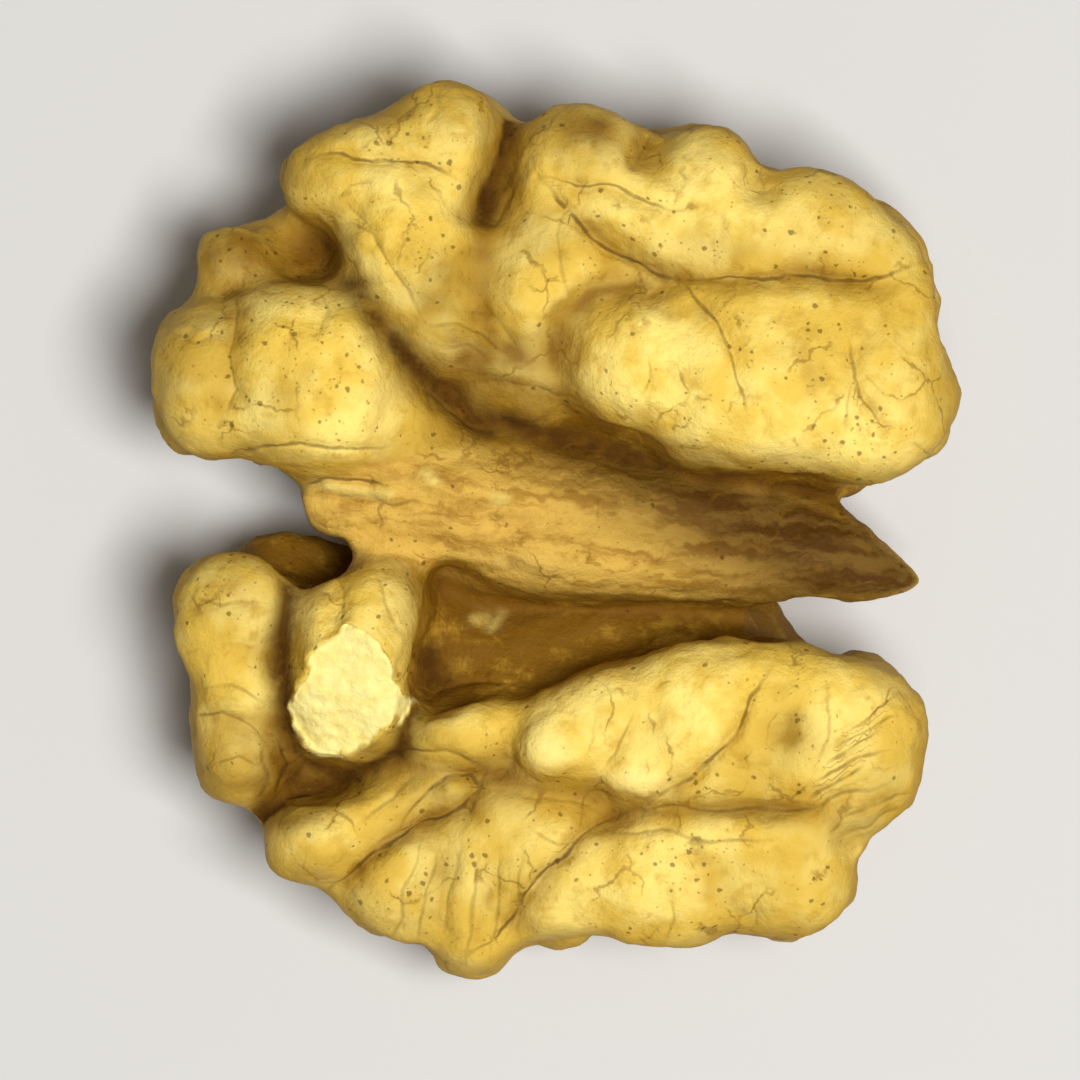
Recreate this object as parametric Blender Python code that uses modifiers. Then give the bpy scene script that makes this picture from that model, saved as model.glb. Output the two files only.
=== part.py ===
"""Half a walnut kernel, lying on its rounded outer side with its lobed inner face up.

The kernel grew as one piece, so it is one solid. It is shaped in millimetres, as a sculptor would:
lobes are set as ellipsoids and fused, the surface is relaxed, furrows are pressed in, and the whole
is thinned to few faces, fitted to its real size and cut flat where it rests.
"""

import math

import bmesh
import bpy
import numpy as np
from mathutils import Matrix, Vector, noise

# Driving dimensions of the kernel, in metres
MM = 0.001
KERNEL_LENGTH = 31.4 * MM
KERNEL_WIDTH = 34.6 * MM
KERNEL_HEIGHT = 13.7 * MM
REST_FLAT_DEPTH = 0.35 * MM

# How finely the solid is made
VOXEL_MM = 0.36
FURROWED_VOXEL_MM = 0.28
RELAX_STEPS = 5
FURROWED_RELAX_STEPS = 4
SOLID_TRIANGLES = 10400

# The skin's colour and finish
SKIN_COLOUR = (0.70, 0.47, 0.14, 1.0)
SKIN_ROUGHNESS = 0.55

# Lobes of the inner face. Each is a pillow: x, y and the height of its crown, its three half sizes,
# and its turn about Z in degrees. +X runs along the midline to the beak.
LOBE_FULLNESS = 2.6
INNER_LOBES = {
    # the far right-hand lobe: a long bean beside the midline, and bulges along its rim
    "bean_root": ((3.3, 6.45, 13.2), (3.6, 2.75, 3.9), -10),
    "bean_middle": ((7.0, 6.2, 13.7), (4.4, 3.8, 4.4), -4),
    "bean_end": ((10.8, 6.2, 13.4), (4.0, 3.7, 4.4), 8),
    "bean_back": ((8.0, 8.6, 13.2), (5.0, 2.4, 3.4), 2),
    "rim_bulge_1": ((-0.2, 13.2, 12.4), (2.8, 2.9, 4.0), 0),
    "rim_bulge_2": ((4.5, 13.1, 12.7), (2.2, 2.9, 4.2), 8),
    "rim_bulge_3": ((8.6, 12.0, 12.8), (2.7, 2.7, 4.2), -12),
    "rim_bulge_4": ((10.6, 10.9, 12.5), (2.4, 2.6, 4.0), -35),
    "rim_corner": ((11.9, 9.4, 12.5), (1.9, 2.2, 3.8), -30),
    "rim_pillow": ((5.6, 11.6, 12.9), (6.6, 2.5, 3.4), -4),
    "saddle": ((-0.6, 10.8, 12.1), (2.6, 3.2, 3.6), -12),
    "small_oval": ((-1.9, 8.5, 12.0), (1.6, 2.1, 2.8), 5),
    # the far left-hand lobe, which runs in to the bean by a low neck
    "wing_tip": ((-5.7, 13.8, 12.5), (2.2, 2.8, 3.8), -14),
    "wing_back": ((-7.9, 12.6, 12.4), (2.9, 2.3, 3.8), 18),
    "wing_end": ((-9.8, 12.1, 11.6), (1.9, 1.8, 3.2), 8),
    "wing_root": ((-6.5, 10.0, 12.8), (2.7, 3.4, 4.0), 30),
    "wing_flank": ((-5.0, 7.7, 12.1), (2.2, 2.8, 3.4), 40),
    "neck": ((-2.4, 6.0, 11.2), (3.0, 1.3, 3.2), -8),
    "notch_floor": ((-3.3, 12.6, 9.8), (1.8, 3.0, 2.6), 0),
    "notch_foot": ((-3.4, 9.2, 11.3), (1.6, 2.6, 2.8), 0),
    # the rounded knob at the stalk end, with a smaller bulge behind it
    "knob": ((-9.8, 4.5, 13.0), (3.9, 3.9, 4.4), -8),
    "knob_end": ((-12.9, 4.0, 12.2), (2.9, 3.3, 4.0), 12),
    "knob_tail": ((-6.8, 3.7, 11.3), (2.8, 1.9, 3.2), -32),
    "back_bulge": ((-13.0, 8.7, 10.0), (1.7, 1.6, 2.6), 0),
    "back_band": ((-10.4, 9.0, 8.0), (2.8, 1.6, 2.4), -15),
    # the near left-hand lobe: one long fold across, and the stub whose tip is broken off
    "fold_head": ((-11.6, -4.7, 11.6), (2.4, 2.8, 3.8), -8),
    "fold_middle": ((-11.1, -7.4, 11.3), (1.9, 2.4, 3.8), 4),
    "fold_foot": ((-11.0, -9.4, 10.9), (1.9, 2.8, 3.6), 10),
    "stub": ((-6.9, -6.2, 13.0), (2.6, 3.9, 4.8), -4),
    "stub_root": ((-6.0, -3.6, 12.0), (1.9, 1.7, 3.2), -35),
    # the near right-hand lobe: an upper and a lower pillow, parted by a long furrow
    "pillow_end": ((11.0, -7.1, 13.2), (4.3, 3.8, 4.5), -14),
    "pillow_middle": ((7.0, -6.7, 13.1), (4.5, 3.3, 4.4), 12),
    "pillow_root": ((2.8, -7.3, 12.8), (3.5, 2.3, 3.8), 20),
    "pillow_bump_1": ((0.7, -8.5, 13.0), (1.3, 1.15, 2.6), -20),
    "pillow_bump_2": ((4.2, -9.3, 12.8), (1.5, 0.85, 2.4), 5),
    "pillow_neck": ((-2.4, -8.4, 11.5), (3.0, 1.5, 3.0), 24),
    "skirt_end": ((9.9, -12.2, 12.2), (3.2, 2.7, 4.0), 6),
    "skirt_middle": ((5.6, -12.8, 12.2), (3.6, 2.9, 4.2), 4),
    "skirt_back": ((8.4, -10.6, 12.6), (4.6, 1.9, 3.0), 4),
    "skirt_root": ((1.6, -13.0, 11.7), (3.0, 3.0, 3.8), 20),
    "skirt_fan_1": ((-1.3, -14.2, 11.5), (1.9, 3.7, 4.0), 2),
    "skirt_fan_2": ((-4.2, -13.9, 11.4), (2.3, 2.7, 3.8), -14),
    "skirt_toe": ((-7.5, -13.1, 11.3), (2.3, 1.7, 3.4), 6),
    "skirt_shoulder": ((-5.2, -11.3, 10.9), (3.0, 1.2, 3.0), 26),
    "skirt_plain": ((-0.6, -11.0, 11.2), (3.6, 1.8, 3.2), 8),
    # the strip along the midline, from its torn end to the beak
    "strip_torn_end": ((-7.4, -0.3, 10.2), (2.4, 1.3, 1.6), 4),
    "strip_shoulder": ((-4.2, 0.5, 10.9), (3.8, 2.5, 2.6), -8),
    "strip_middle": ((0.4, -0.2, 10.7), (4.8, 2.7, 2.6), -3),
    "strip_neck": ((5.2, -0.1, 9.9), (4.4, 2.5, 2.4), 0),
    "strip_beak": ((8.8, -0.1, 9.2), (3.7, 2.2, 2.0), 0),
    "beak_taper": ((11.6, -0.3, 8.8), (2.3, 1.15, 1.4), -8),
    "beak_tip": ((13.3, -0.6, 8.4), (1.3, 0.55, 0.9), -6),
    "valley": ((2.4, -4.4, 7.6), (6.2, 1.9, 2.6), 8),
    "upper_valley": ((-2.4, 4.2, 9.9), (3.0, 1.3, 2.6), -14),
    "upper_valley_end": ((2.6, 3.6, 8.8), (3.4, 1.2, 2.4), -8),
    "valley_web": ((-2.6, -4.8, 8.0), (2.4, 2.0, 3.0), 0),
}

# Masses inside, which join the lobes: centre, half sizes, turn
CORE_MASSES = {
    "far_mass": ((1.2, 8.0, 6.2), (9.6, 5.2, 3.6), -6),
    "near_mass": ((1.4, -8.6, 5.8), (9.4, 5.4, 3.2), 4),
    "left_mass": ((-8.6, 6.6, 5.8), (4.6, 4.2, 2.8), 20),
    "fold_mass": ((-8.4, -7.6, 6.6), (3.8, 4.2, 3.0), 0),
    "bridge": ((0.0, 0.2, 5.8), (6.8, 4.6, 2.6), 0),
}

# Gyri of the outer side: each runs from a point inside the rim, over the dome, to a root by the midline.
FAR_RIM = [(12.2, 6.0), (10.9, 10.2), (7.4, 12.4), (3.2, 13.6), (-1.0, 13.4), (-5.4, 13.4), (-9.4, 11.6)]
FAR_LEFT_RIM = [(-12.4, 8.3), (-12.9, 4.3)]
NEAR_RIM = [(12.2, -7.8), (10.4, -11.8), (6.4, -13.2), (2.2, -14.2), (-1.8, -14.9), (-5.2, -13.8)]
NEAR_LEFT_RIM = [(-7.2, -12.3), (-10.8, -9.8), (-11.6, -5.2)]
GYRUS_BALLS = 14
GYRUS_RADIUS = 2.15
GYRUS_WANDER = 2.6

# The outer side's dome: half sizes in plan, the climb to its rim, and the groove along its midline
DOME_LENGTH = 15.7
DOME_WIDTH = 17.2
DOME_CLIMB = 7.6
DOME_FLATNESS = 1.5
GROOVE_HALF_WIDTH = 5.0
GROOVE_RISE = 2.4

# Four gyri reach lowest, and the kernel rests on them: x, y, radius
REST_POINTS = [(-4.8, 5.8, 3.4), (6.0, 6.0, 3.4), (-4.6, -6.2, 3.4), (6.2, -6.6, 3.4)]
REST_REACH = -0.35
REST_PAD_RADIUS = 2.6

# Furrows of the inner face: width and depth in millimetres, then the points that each passes through
INNER_FURROWS = {
    "above_strip": (0.6, 0.9, [(-8.8, 8.6), (-7.0, 6.7), (-5.3, 5.1), (-3.6, 3.9), (-1.5, 3.5), (1.5, 3.0),
                               (4.5, 2.7), (8.0, 2.4), (11.0, 2.5), (13.0, 2.7)]),
    "below_strip": (0.7, 0.9, [(-5.0, -2.5), (-2.4, -3.3), (0.6, -3.1), (4.0, -2.8), (8.0, -2.6),
                               (12.0, -2.6)]),
    "round_stub": (0.5, 0.5, [(-9.4, -2.4), (-9.5, -5.0), (-9.3, -7.6), (-8.6, -9.4), (-6.8, -10.4),
                              (-4.6, -9.0), (-4.1, -7.0), (-3.9, -4.4)]),
    "stub_fold": (0.45, 0.4, [(-8.4, -2.0), (-7.7, -3.4), (-7.4, -5.2)]),
    "bulges_and_bean": (0.45, 0.6, [(-1.8, 13.0), (-0.2, 11.4), (1.2, 10.5), (3.2, 9.7), (5.0, 9.7),
                                    (7.0, 10.1), (9.0, 10.4), (11.0, 10.2), (12.7, 11.2)]),
    "round_bean_root": (0.5, 0.6, [(4.0, 9.4), (2.4, 9.2), (0.8, 8.8), (-0.3, 7.8), (-0.5, 6.4),
                                   (0.0, 5.0)]),
    "bulges_1_and_2": (0.6, 0.45, [(2.4, 15.8), (2.2, 14.6), (1.6, 13.5)]),
    "bulges_2_and_3": (0.6, 0.45, [(6.9, 15.0), (6.4, 13.8), (6.5, 12.5)]),
    "across_bulge": (0.35, 0.3, [(-1.8, 13.0), (0.2, 12.8), (1.8, 12.5), (3.2, 12.2)]),
    "down_the_bean": (0.4, 0.3, [(4.0, 9.6), (5.4, 8.2), (6.1, 6.8), (6.7, 5.0)]),
    "bean_fold": (0.4, 0.25, [(10.3, 8.2), (10.6, 6.6), (11.8, 4.8)]),
    "wing_fold": (0.4, 0.35, [(-10.4, 12.9), (-8.6, 13.0), (-6.6, 12.8), (-4.8, 12.6)]),
    "wing_side": (0.6, 0.6, [(-3.2, 16.6), (-3.3, 14.6), (-3.5, 12.6), (-3.9, 10.6)]),
    "oval_side": (0.8, 0.4, [(-3.9, 10.6), (-3.9, 8.8), (-3.4, 7.4), (-2.4, 6.4)]),
    "knob_dip": (0.8, 0.35, [(-13.2, 8.2), (-12.4, 6.4), (-12.5, 4.4), (-12.0, 2.2)]),
    "pillow_furrow": (0.45, 0.6, [(-0.6, -16.0), (0.2, -14.6), (1.2, -13.0), (2.4, -11.6), (4.0, -10.4),
                                  (6.4, -10.1), (9.0, -9.9), (11.0, -9.4), (13.4, -8.5)]),
    "pillow_branch": (0.4, 0.35, [(4.4, -10.2), (6.0, -9.0), (7.2, -7.8), (8.0, -6.2)]),
    "pillow_dimple": (1.0, 0.3, [(9.2, -6.2), (9.8, -7.4)]),
    "pillow_rib": (0.4, 0.2, [(2.9, -9.2), (3.4, -8.0), (4.0, -6.8)]),
    "round_bump": (0.35, 0.35, [(-0.5, -7.4), (-0.9, -8.6), (-0.2, -9.7), (1.2, -9.8), (2.2, -9.2)]),
    "rim_notch": (0.5, 0.5, [(11.4, -10.6), (13.0, -11.2), (14.4, -11.2)]),
    "toe_furrow": (0.5, 0.6, [(-7.4, -15.4), (-6.0, -13.8), (-4.6, -12.4), (-3.2, -11.6), (-1.8, -11.0),
                              (-1.3, -9.6)]),
    "toe_gap": (0.5, 0.8, [(-10.8, -13.0), (-9.6, -12.2), (-8.6, -11.4), (-7.2, -10.8), (-6.0, -10.3)]),
    "neck_furrow": (0.5, 0.5, [(-6.4, -9.6), (-4.0, -9.6), (-1.8, -9.6), (0.2, -9.8), (2.6, -9.9)]),
    "fan_fold_1": (0.4, 0.25, [(-2.6, -12.4), (-2.7, -14.4), (-2.4, -16.6)]),
    "fan_fold_2": (0.4, 0.25, [(-0.9, -12.2), (-0.9, -14.2), (-1.2, -16.0)]),
}

# Furrows of the outer side: they wind between folds that run from the rim to the midline
OUTER_FURROW_DEPTH = 0.9
OUTER_FURROW_WIDTH = 0.7
OUTER_SHOULDER_DEPTH = 0.5
OUTER_SHOULDER_WIDTH = 1.7
FOLD_SIZE = Vector((3.2, 5.4, 4.0))
FOLD_BEND = 2.4
FOLD_BEND_SIZE = 6.5
FOLD_BEND_SHIFTS = (Vector((0.0, 0.0, 0.0)), Vector((17.3, 4.1, 9.7)), Vector((6.2, 23.9, 12.8)))
OUTER_SEED = Vector((77.1, 5.3, 21.9))

# Low lumps all over
LUMP_HEIGHT = 0.28
LUMP_SIZE = 3.4
LUMP_SEED = Vector((3.1, 17.2, 9.9))

# The break on the stub: a point on it, the way it faces, and how far round that point it reaches
BREAK_POINT = np.array((-7.0, -7.1, 11.8))
BREAK_FACES = np.array((-0.08, -0.40, 0.91))
BREAK_REACH = 3.5


def clear_scene():
    for obj in list(bpy.data.objects):
        bpy.data.objects.remove(obj, do_unlink=True)


def smooth_step(low, high, value):
    share = np.clip((value - low) / (high - low), 0.0, 1.0)
    return share * share * (3.0 - 2.0 * share)


def add_pillow(cage, centre, half_sizes, turn_degrees, fullness=2.0):
    """One closed lobe, in millimetres, in the bmesh that holds them all. Above 2 its sides are fuller."""
    verts = bmesh.ops.create_icosphere(cage, subdivisions=3, radius=1.0)["verts"]
    if fullness != 2.0:
        for vert in verts:
            vert.co /= sum(abs(part) ** fullness for part in vert.co) ** (1.0 / fullness)
    stretch = Matrix.Diagonal((*half_sizes, 1.0))
    turn = Matrix.Rotation(math.radians(turn_degrees), 4, "Z")
    bmesh.ops.transform(cage, matrix=Matrix.Translation(centre) @ turn @ stretch, verts=verts)


def dome_height(x, y):
    """Height of a gyrus's middle line: low near the middle, steep at the rim, raised beside the midline."""
    outward = min(0.97, ((x / DOME_LENGTH) ** 2 + (y / DOME_WIDTH) ** 2) ** DOME_FLATNESS)
    groove = max(0.0, 1.0 - abs(y) / GROOVE_HALF_WIDTH)
    return GYRUS_RADIUS + DOME_CLIMB * (1.0 - math.sqrt(1.0 - outward)) + GROOVE_RISE * groove


def add_gyrus(cage, rim, root, seed):
    """A chain of balls from the rim over the dome to the midline. Seeded noise makes it wander."""
    direction = (Vector(root) - Vector(rim)).normalized()
    sideways = Vector((-direction.y, direction.x))
    for step in range(GYRUS_BALLS):
        share = step / (GYRUS_BALLS - 1)
        sway = GYRUS_WANDER * noise.noise(Vector((share * 2.6, seed * 5.3, 0.7))) * math.sin(math.pi * share)
        spot = Vector(rim).lerp(Vector(root), share) + sideways * sway
        radius = GYRUS_RADIUS * (1.0 + 0.2 * noise.noise(Vector((share * 4.1, 9.2, seed * 3.7))))
        add_pillow(cage, (spot.x, spot.y, dome_height(spot.x, spot.y)), (radius,) * 3, 0.0)


def add_gyri(cage, rims, root_from, root_to, root_y, first_seed):
    for number, rim in enumerate(rims):
        share = number / max(1, len(rims) - 1)
        root = (root_from + (root_to - root_from) * share, root_y)
        add_gyrus(cage, rim, root, first_seed + number)


def set_lobes():
    """All the lobes, masses and gyri as closed shapes that overlap, in one mesh."""
    cage = bmesh.new()
    for (x, y, crown), half_sizes, turn in INNER_LOBES.values():
        add_pillow(cage, (x, y, crown - half_sizes[2]), half_sizes, turn, LOBE_FULLNESS)
    for centre, half_sizes, turn in CORE_MASSES.values():
        add_pillow(cage, centre, half_sizes, turn)
    add_gyri(cage, FAR_RIM, 8.0, -4.4, 3.0, 1)
    add_gyri(cage, FAR_LEFT_RIM, -5.0, -6.0, 3.4, 11)
    add_gyri(cage, NEAR_RIM, 7.0, -3.0, -3.4, 21)
    add_gyri(cage, NEAR_LEFT_RIM, -4.2, -6.2, -3.6, 31)
    for x, y, radius in REST_POINTS:
        add_pillow(cage, (x, y, REST_REACH + radius), (radius,) * 3, 0.0)
    mesh = bpy.data.meshes.new("lobes")
    cage.to_mesh(mesh)
    cage.free()
    return mesh


def applied(obj):
    """A new mesh of the object with its modifiers applied, which are then removed."""
    graph = bpy.context.evaluated_depsgraph_get()
    mesh = bpy.data.meshes.new_from_object(obj.evaluated_get(graph))
    obj.modifiers.clear()
    obj.data = mesh
    return mesh


def fuse(obj, voxel):
    """Joins the overlapping lobes in one closed skin of even quads."""
    remesh = obj.modifiers.new("fuse", "REMESH")
    remesh.mode = "VOXEL"
    remesh.voxel_size = voxel
    return applied(obj)


def points_of(mesh):
    points = np.empty(len(mesh.vertices) * 3)
    mesh.vertices.foreach_get("co", points)
    return points.reshape(-1, 3)


def normals_of(mesh):
    normals = np.empty(len(mesh.vertices) * 3)
    mesh.vertex_normals.foreach_get("vector", normals)
    return normals.reshape(-1, 3)


def put_points(mesh, points):
    mesh.vertices.foreach_set("co", points.ravel())
    mesh.update()


def relax(mesh, steps, strength=0.5):
    """Moves each point towards the mean of its neighbours, which rounds off the voxels."""
    ends = np.empty(len(mesh.edges) * 2, np.int64)
    mesh.edges.foreach_get("vertices", ends)
    first, second = ends.reshape(-1, 2).T
    points = points_of(mesh)
    count = np.bincount(ends, minlength=len(points))[:, None]
    for _ in range(steps):
        total = np.zeros_like(points)
        for axis in range(3):
            total[:, axis] += np.bincount(first, points[second, axis], len(points))
            total[:, axis] += np.bincount(second, points[first, axis], len(points))
        points += strength * (total / count - points)
    put_points(mesh, points)


def distance_to_path(points, path):
    """Plan distance of each point to the nearest stretch of a path, and how far along the path it is."""
    nearest = np.full(len(points), np.inf)
    along = np.zeros(len(points))
    for number, (start, end) in enumerate(zip(path[:-1], path[1:])):
        start, run = np.array(start), np.subtract(end, start)
        share = np.clip(((points[:, :2] - start) @ run) / (run @ run), 0.0, 1.0)
        gap = np.linalg.norm(points[:, :2] - start - share[:, None] * run, axis=1)
        closer = gap < nearest
        nearest[closer] = gap[closer]
        along[closer] = (number + share[closer]) / (len(path) - 1)
    return nearest, along


def press_inner_furrows(mesh):
    """Presses each furrow straight down in the skin, deepest along its path and fading at its ends."""
    points, normals = points_of(mesh), normals_of(mesh)
    upward = smooth_step(0.25, 0.65, normals[:, 2]) * smooth_step(6.5, 8.0, points[:, 2])
    depth = np.zeros(len(points))
    for width, deep, path in INNER_FURROWS.values():
        gap, along = distance_to_path(points, path)
        fade = smooth_step(0.0, 0.12, along) * smooth_step(0.0, 0.12, 1.0 - along)
        depth = np.maximum(depth, deep * (0.35 + 0.65 * fade) * np.exp(-((gap / width) ** 2)))
    points[:, 2] -= depth * upward
    put_points(mesh, points)


def fold_level(spot):
    """A seeded noise, bent and stretched along the folds. Its zeros are the furrows between them."""
    place = spot / FOLD_BEND_SIZE + OUTER_SEED
    bent = spot + FOLD_BEND * Vector([noise.noise(place + shift) for shift in FOLD_BEND_SHIFTS])
    stretched = Vector((bent.x / FOLD_SIZE.x, bent.y / FOLD_SIZE.y, bent.z / FOLD_SIZE.z))
    return noise.noise(stretched + OUTER_SEED)


def distance_to_furrow(spot, normal):
    """About how far a point of the skin is from the nearest furrow: the level over its slope."""
    step = 0.1
    level = fold_level(spot)
    slope = Vector([(fold_level(spot + step * axis) - level) / step for axis in Matrix.Identity(3)])
    slope -= normal * slope.dot(normal)
    return abs(level) / max(slope.length, 0.02)


def press_outer_furrows(mesh):
    """Narrow winding furrows with rounded shoulders, on the sides and below. They spare the low points."""
    points, normals = points_of(mesh), normals_of(mesh)
    outside = smooth_step(0.3, -0.1, normals[:, 2])
    for x, y, _ in REST_POINTS:
        gap = np.linalg.norm(points - (x, y, REST_REACH), axis=1)
        outside *= smooth_step(0.5 * REST_PAD_RADIUS, REST_PAD_RADIUS, gap)
    depth = np.zeros(len(points))
    for number in np.flatnonzero(outside > 0.01):
        gap = distance_to_furrow(Vector(points[number]), Vector(normals[number]))
        depth[number] = OUTER_FURROW_DEPTH * math.exp(-((gap / OUTER_FURROW_WIDTH) ** 2))
        depth[number] += OUTER_SHOULDER_DEPTH * math.exp(-((gap / OUTER_SHOULDER_WIDTH) ** 2))
    put_points(mesh, points - normals * (depth * outside)[:, None])


def raise_lumps(mesh):
    points, normals = points_of(mesh), normals_of(mesh)
    height = np.array([noise.noise(Vector(spot) / LUMP_SIZE + LUMP_SEED) for spot in points])
    put_points(mesh, points + normals * (LUMP_HEIGHT * height)[:, None])


def break_stub(mesh):
    """Flattens what stands above the slanted break, as where the stub's tip has snapped off."""
    points = points_of(mesh)
    facing = BREAK_FACES / np.linalg.norm(BREAK_FACES)
    above = (points - BREAK_POINT) @ facing
    gap = np.linalg.norm(points[:, :2] - BREAK_POINT[:2], axis=1)
    near = smooth_step(BREAK_REACH, BREAK_REACH - 0.5, gap)
    put_points(mesh, points - facing * (np.clip(above, 0.0, None) * near)[:, None])


def thin_out(obj, triangles):
    """Collapses edges where the surface is plain, and keeps them in the furrows."""
    decimate = obj.modifiers.new("thin out", "DECIMATE")
    faces = sum(len(face.vertices) - 2 for face in obj.data.polygons)
    decimate.ratio = triangles / faces
    decimate.use_collapse_triangulate = True
    return applied(obj)


def fit_to_size(mesh):
    """Scales the kernel from millimetres to its real size, centred in plan, its lowest points below 0."""
    points = points_of(mesh)
    low, high = points.min(0), points.max(0)
    size = np.array((KERNEL_LENGTH, KERNEL_WIDTH, KERNEL_HEIGHT + REST_FLAT_DEPTH))
    lowest = np.array((-KERNEL_LENGTH / 2, -KERNEL_WIDTH / 2, -REST_FLAT_DEPTH))
    put_points(mesh, (points - low) / (high - low) * size + lowest)


def cut_rest_flats(mesh):
    """Cuts the kernel flat at height 0, so that its lowest gyri rest on small flats."""
    body = bmesh.new()
    body.from_mesh(mesh)
    everything = body.verts[:] + body.edges[:] + body.faces[:]
    cut = bmesh.ops.bisect_plane(
        body, geom=everything, dist=1e-7, plane_co=(0, 0, 0), plane_no=(0, 0, -1), clear_outer=True
    )
    rims = [item for item in cut["geom_cut"] if isinstance(item, bmesh.types.BMEdge)]
    flats = bmesh.ops.holes_fill(body, edges=rims, sides=0)["faces"]
    bmesh.ops.triangulate(body, faces=flats)
    bmesh.ops.recalc_face_normals(body, faces=body.faces[:])
    body.to_mesh(mesh)
    body.free()


def skin_material():
    material = bpy.data.materials.new("kernel_skin")
    material.use_nodes = True
    shader = material.node_tree.nodes["Principled BSDF"]
    shader.inputs["Base Color"].default_value = SKIN_COLOUR
    shader.inputs["Roughness"].default_value = SKIN_ROUGHNESS
    shader.inputs["Metallic"].default_value = 0.0
    return material


def make_kernel():
    collection = bpy.data.collections.new("walnut_kernel")
    bpy.context.scene.collection.children.link(collection)
    kernel = bpy.data.objects.new("kernel", set_lobes())
    collection.objects.link(kernel)
    fuse(kernel, VOXEL_MM)
    relax(kernel.data, RELAX_STEPS)
    raise_lumps(kernel.data)
    press_outer_furrows(kernel.data)
    relax(kernel.data, 1)
    fuse(kernel, FURROWED_VOXEL_MM)
    relax(kernel.data, FURROWED_RELAX_STEPS)
    break_stub(kernel.data)
    press_inner_furrows(kernel.data)
    relax(kernel.data, 1)
    thin_out(kernel, SOLID_TRIANGLES)
    fit_to_size(kernel.data)
    cut_rest_flats(kernel.data)
    kernel.data.name = "kernel"
    kernel.data.materials.append(skin_material())
    kernel.data.shade_smooth()
    kernel.data.set_sharp_from_angle(angle=math.radians(50))
    return kernel


def main():
    clear_scene()
    make_kernel()


main()
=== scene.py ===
# %% [markdown]
# # Half a walnut kernel
#
# The object is one half of a walnut's kernel. It lies on its rounded outer side, and its inner face,
# with its lobes and the strip along its middle, looks up. It is a single grown body, so the whole
# lesson is about one piece: how to give a soft, folded, natural form its lobes, its furrows and its
# thin golden skin.

# %% Tools and the measured frame
import math

import bmesh
import bpy
import numpy as np
from mathutils import Matrix, Vector, noise


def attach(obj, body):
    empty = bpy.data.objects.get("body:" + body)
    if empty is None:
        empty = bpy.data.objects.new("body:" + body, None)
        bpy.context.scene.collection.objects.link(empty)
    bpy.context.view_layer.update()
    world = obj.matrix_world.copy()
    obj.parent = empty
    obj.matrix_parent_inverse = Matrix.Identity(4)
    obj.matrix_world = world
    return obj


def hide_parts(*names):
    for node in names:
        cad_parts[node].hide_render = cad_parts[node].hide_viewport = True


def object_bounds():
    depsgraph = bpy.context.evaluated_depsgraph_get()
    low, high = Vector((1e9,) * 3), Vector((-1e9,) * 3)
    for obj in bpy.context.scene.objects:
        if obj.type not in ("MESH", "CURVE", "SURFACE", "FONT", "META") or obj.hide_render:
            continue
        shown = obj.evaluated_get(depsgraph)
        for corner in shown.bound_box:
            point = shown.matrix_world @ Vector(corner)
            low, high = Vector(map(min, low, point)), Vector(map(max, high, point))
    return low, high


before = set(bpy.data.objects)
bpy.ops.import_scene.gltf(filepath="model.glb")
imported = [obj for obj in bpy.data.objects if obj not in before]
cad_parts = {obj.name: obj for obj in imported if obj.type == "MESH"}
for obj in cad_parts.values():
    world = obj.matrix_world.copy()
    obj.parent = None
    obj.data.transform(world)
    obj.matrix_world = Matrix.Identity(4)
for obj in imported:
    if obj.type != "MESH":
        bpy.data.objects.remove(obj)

frame_low, frame_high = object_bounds()
print("The kernel's solid measures", [round(1000 * side, 1) for side in frame_high - frame_low], "mm")

# %% [markdown]
# ## Lobes
#
# A kernel fills a shell that is folded inside, so it grows as fat pillows that press on each other.
# They could be sculpted by hand, or drawn as one surface. Here each lobe is a closed pillow with a
# named place, because a list of lobes can be read and corrected one by one. The kernel is shaped in
# millimetres, and gets its true size in metres near the end. A pillow is a ball whose sides are pushed
# out towards a box. Its crown is the height of its top.

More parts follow.
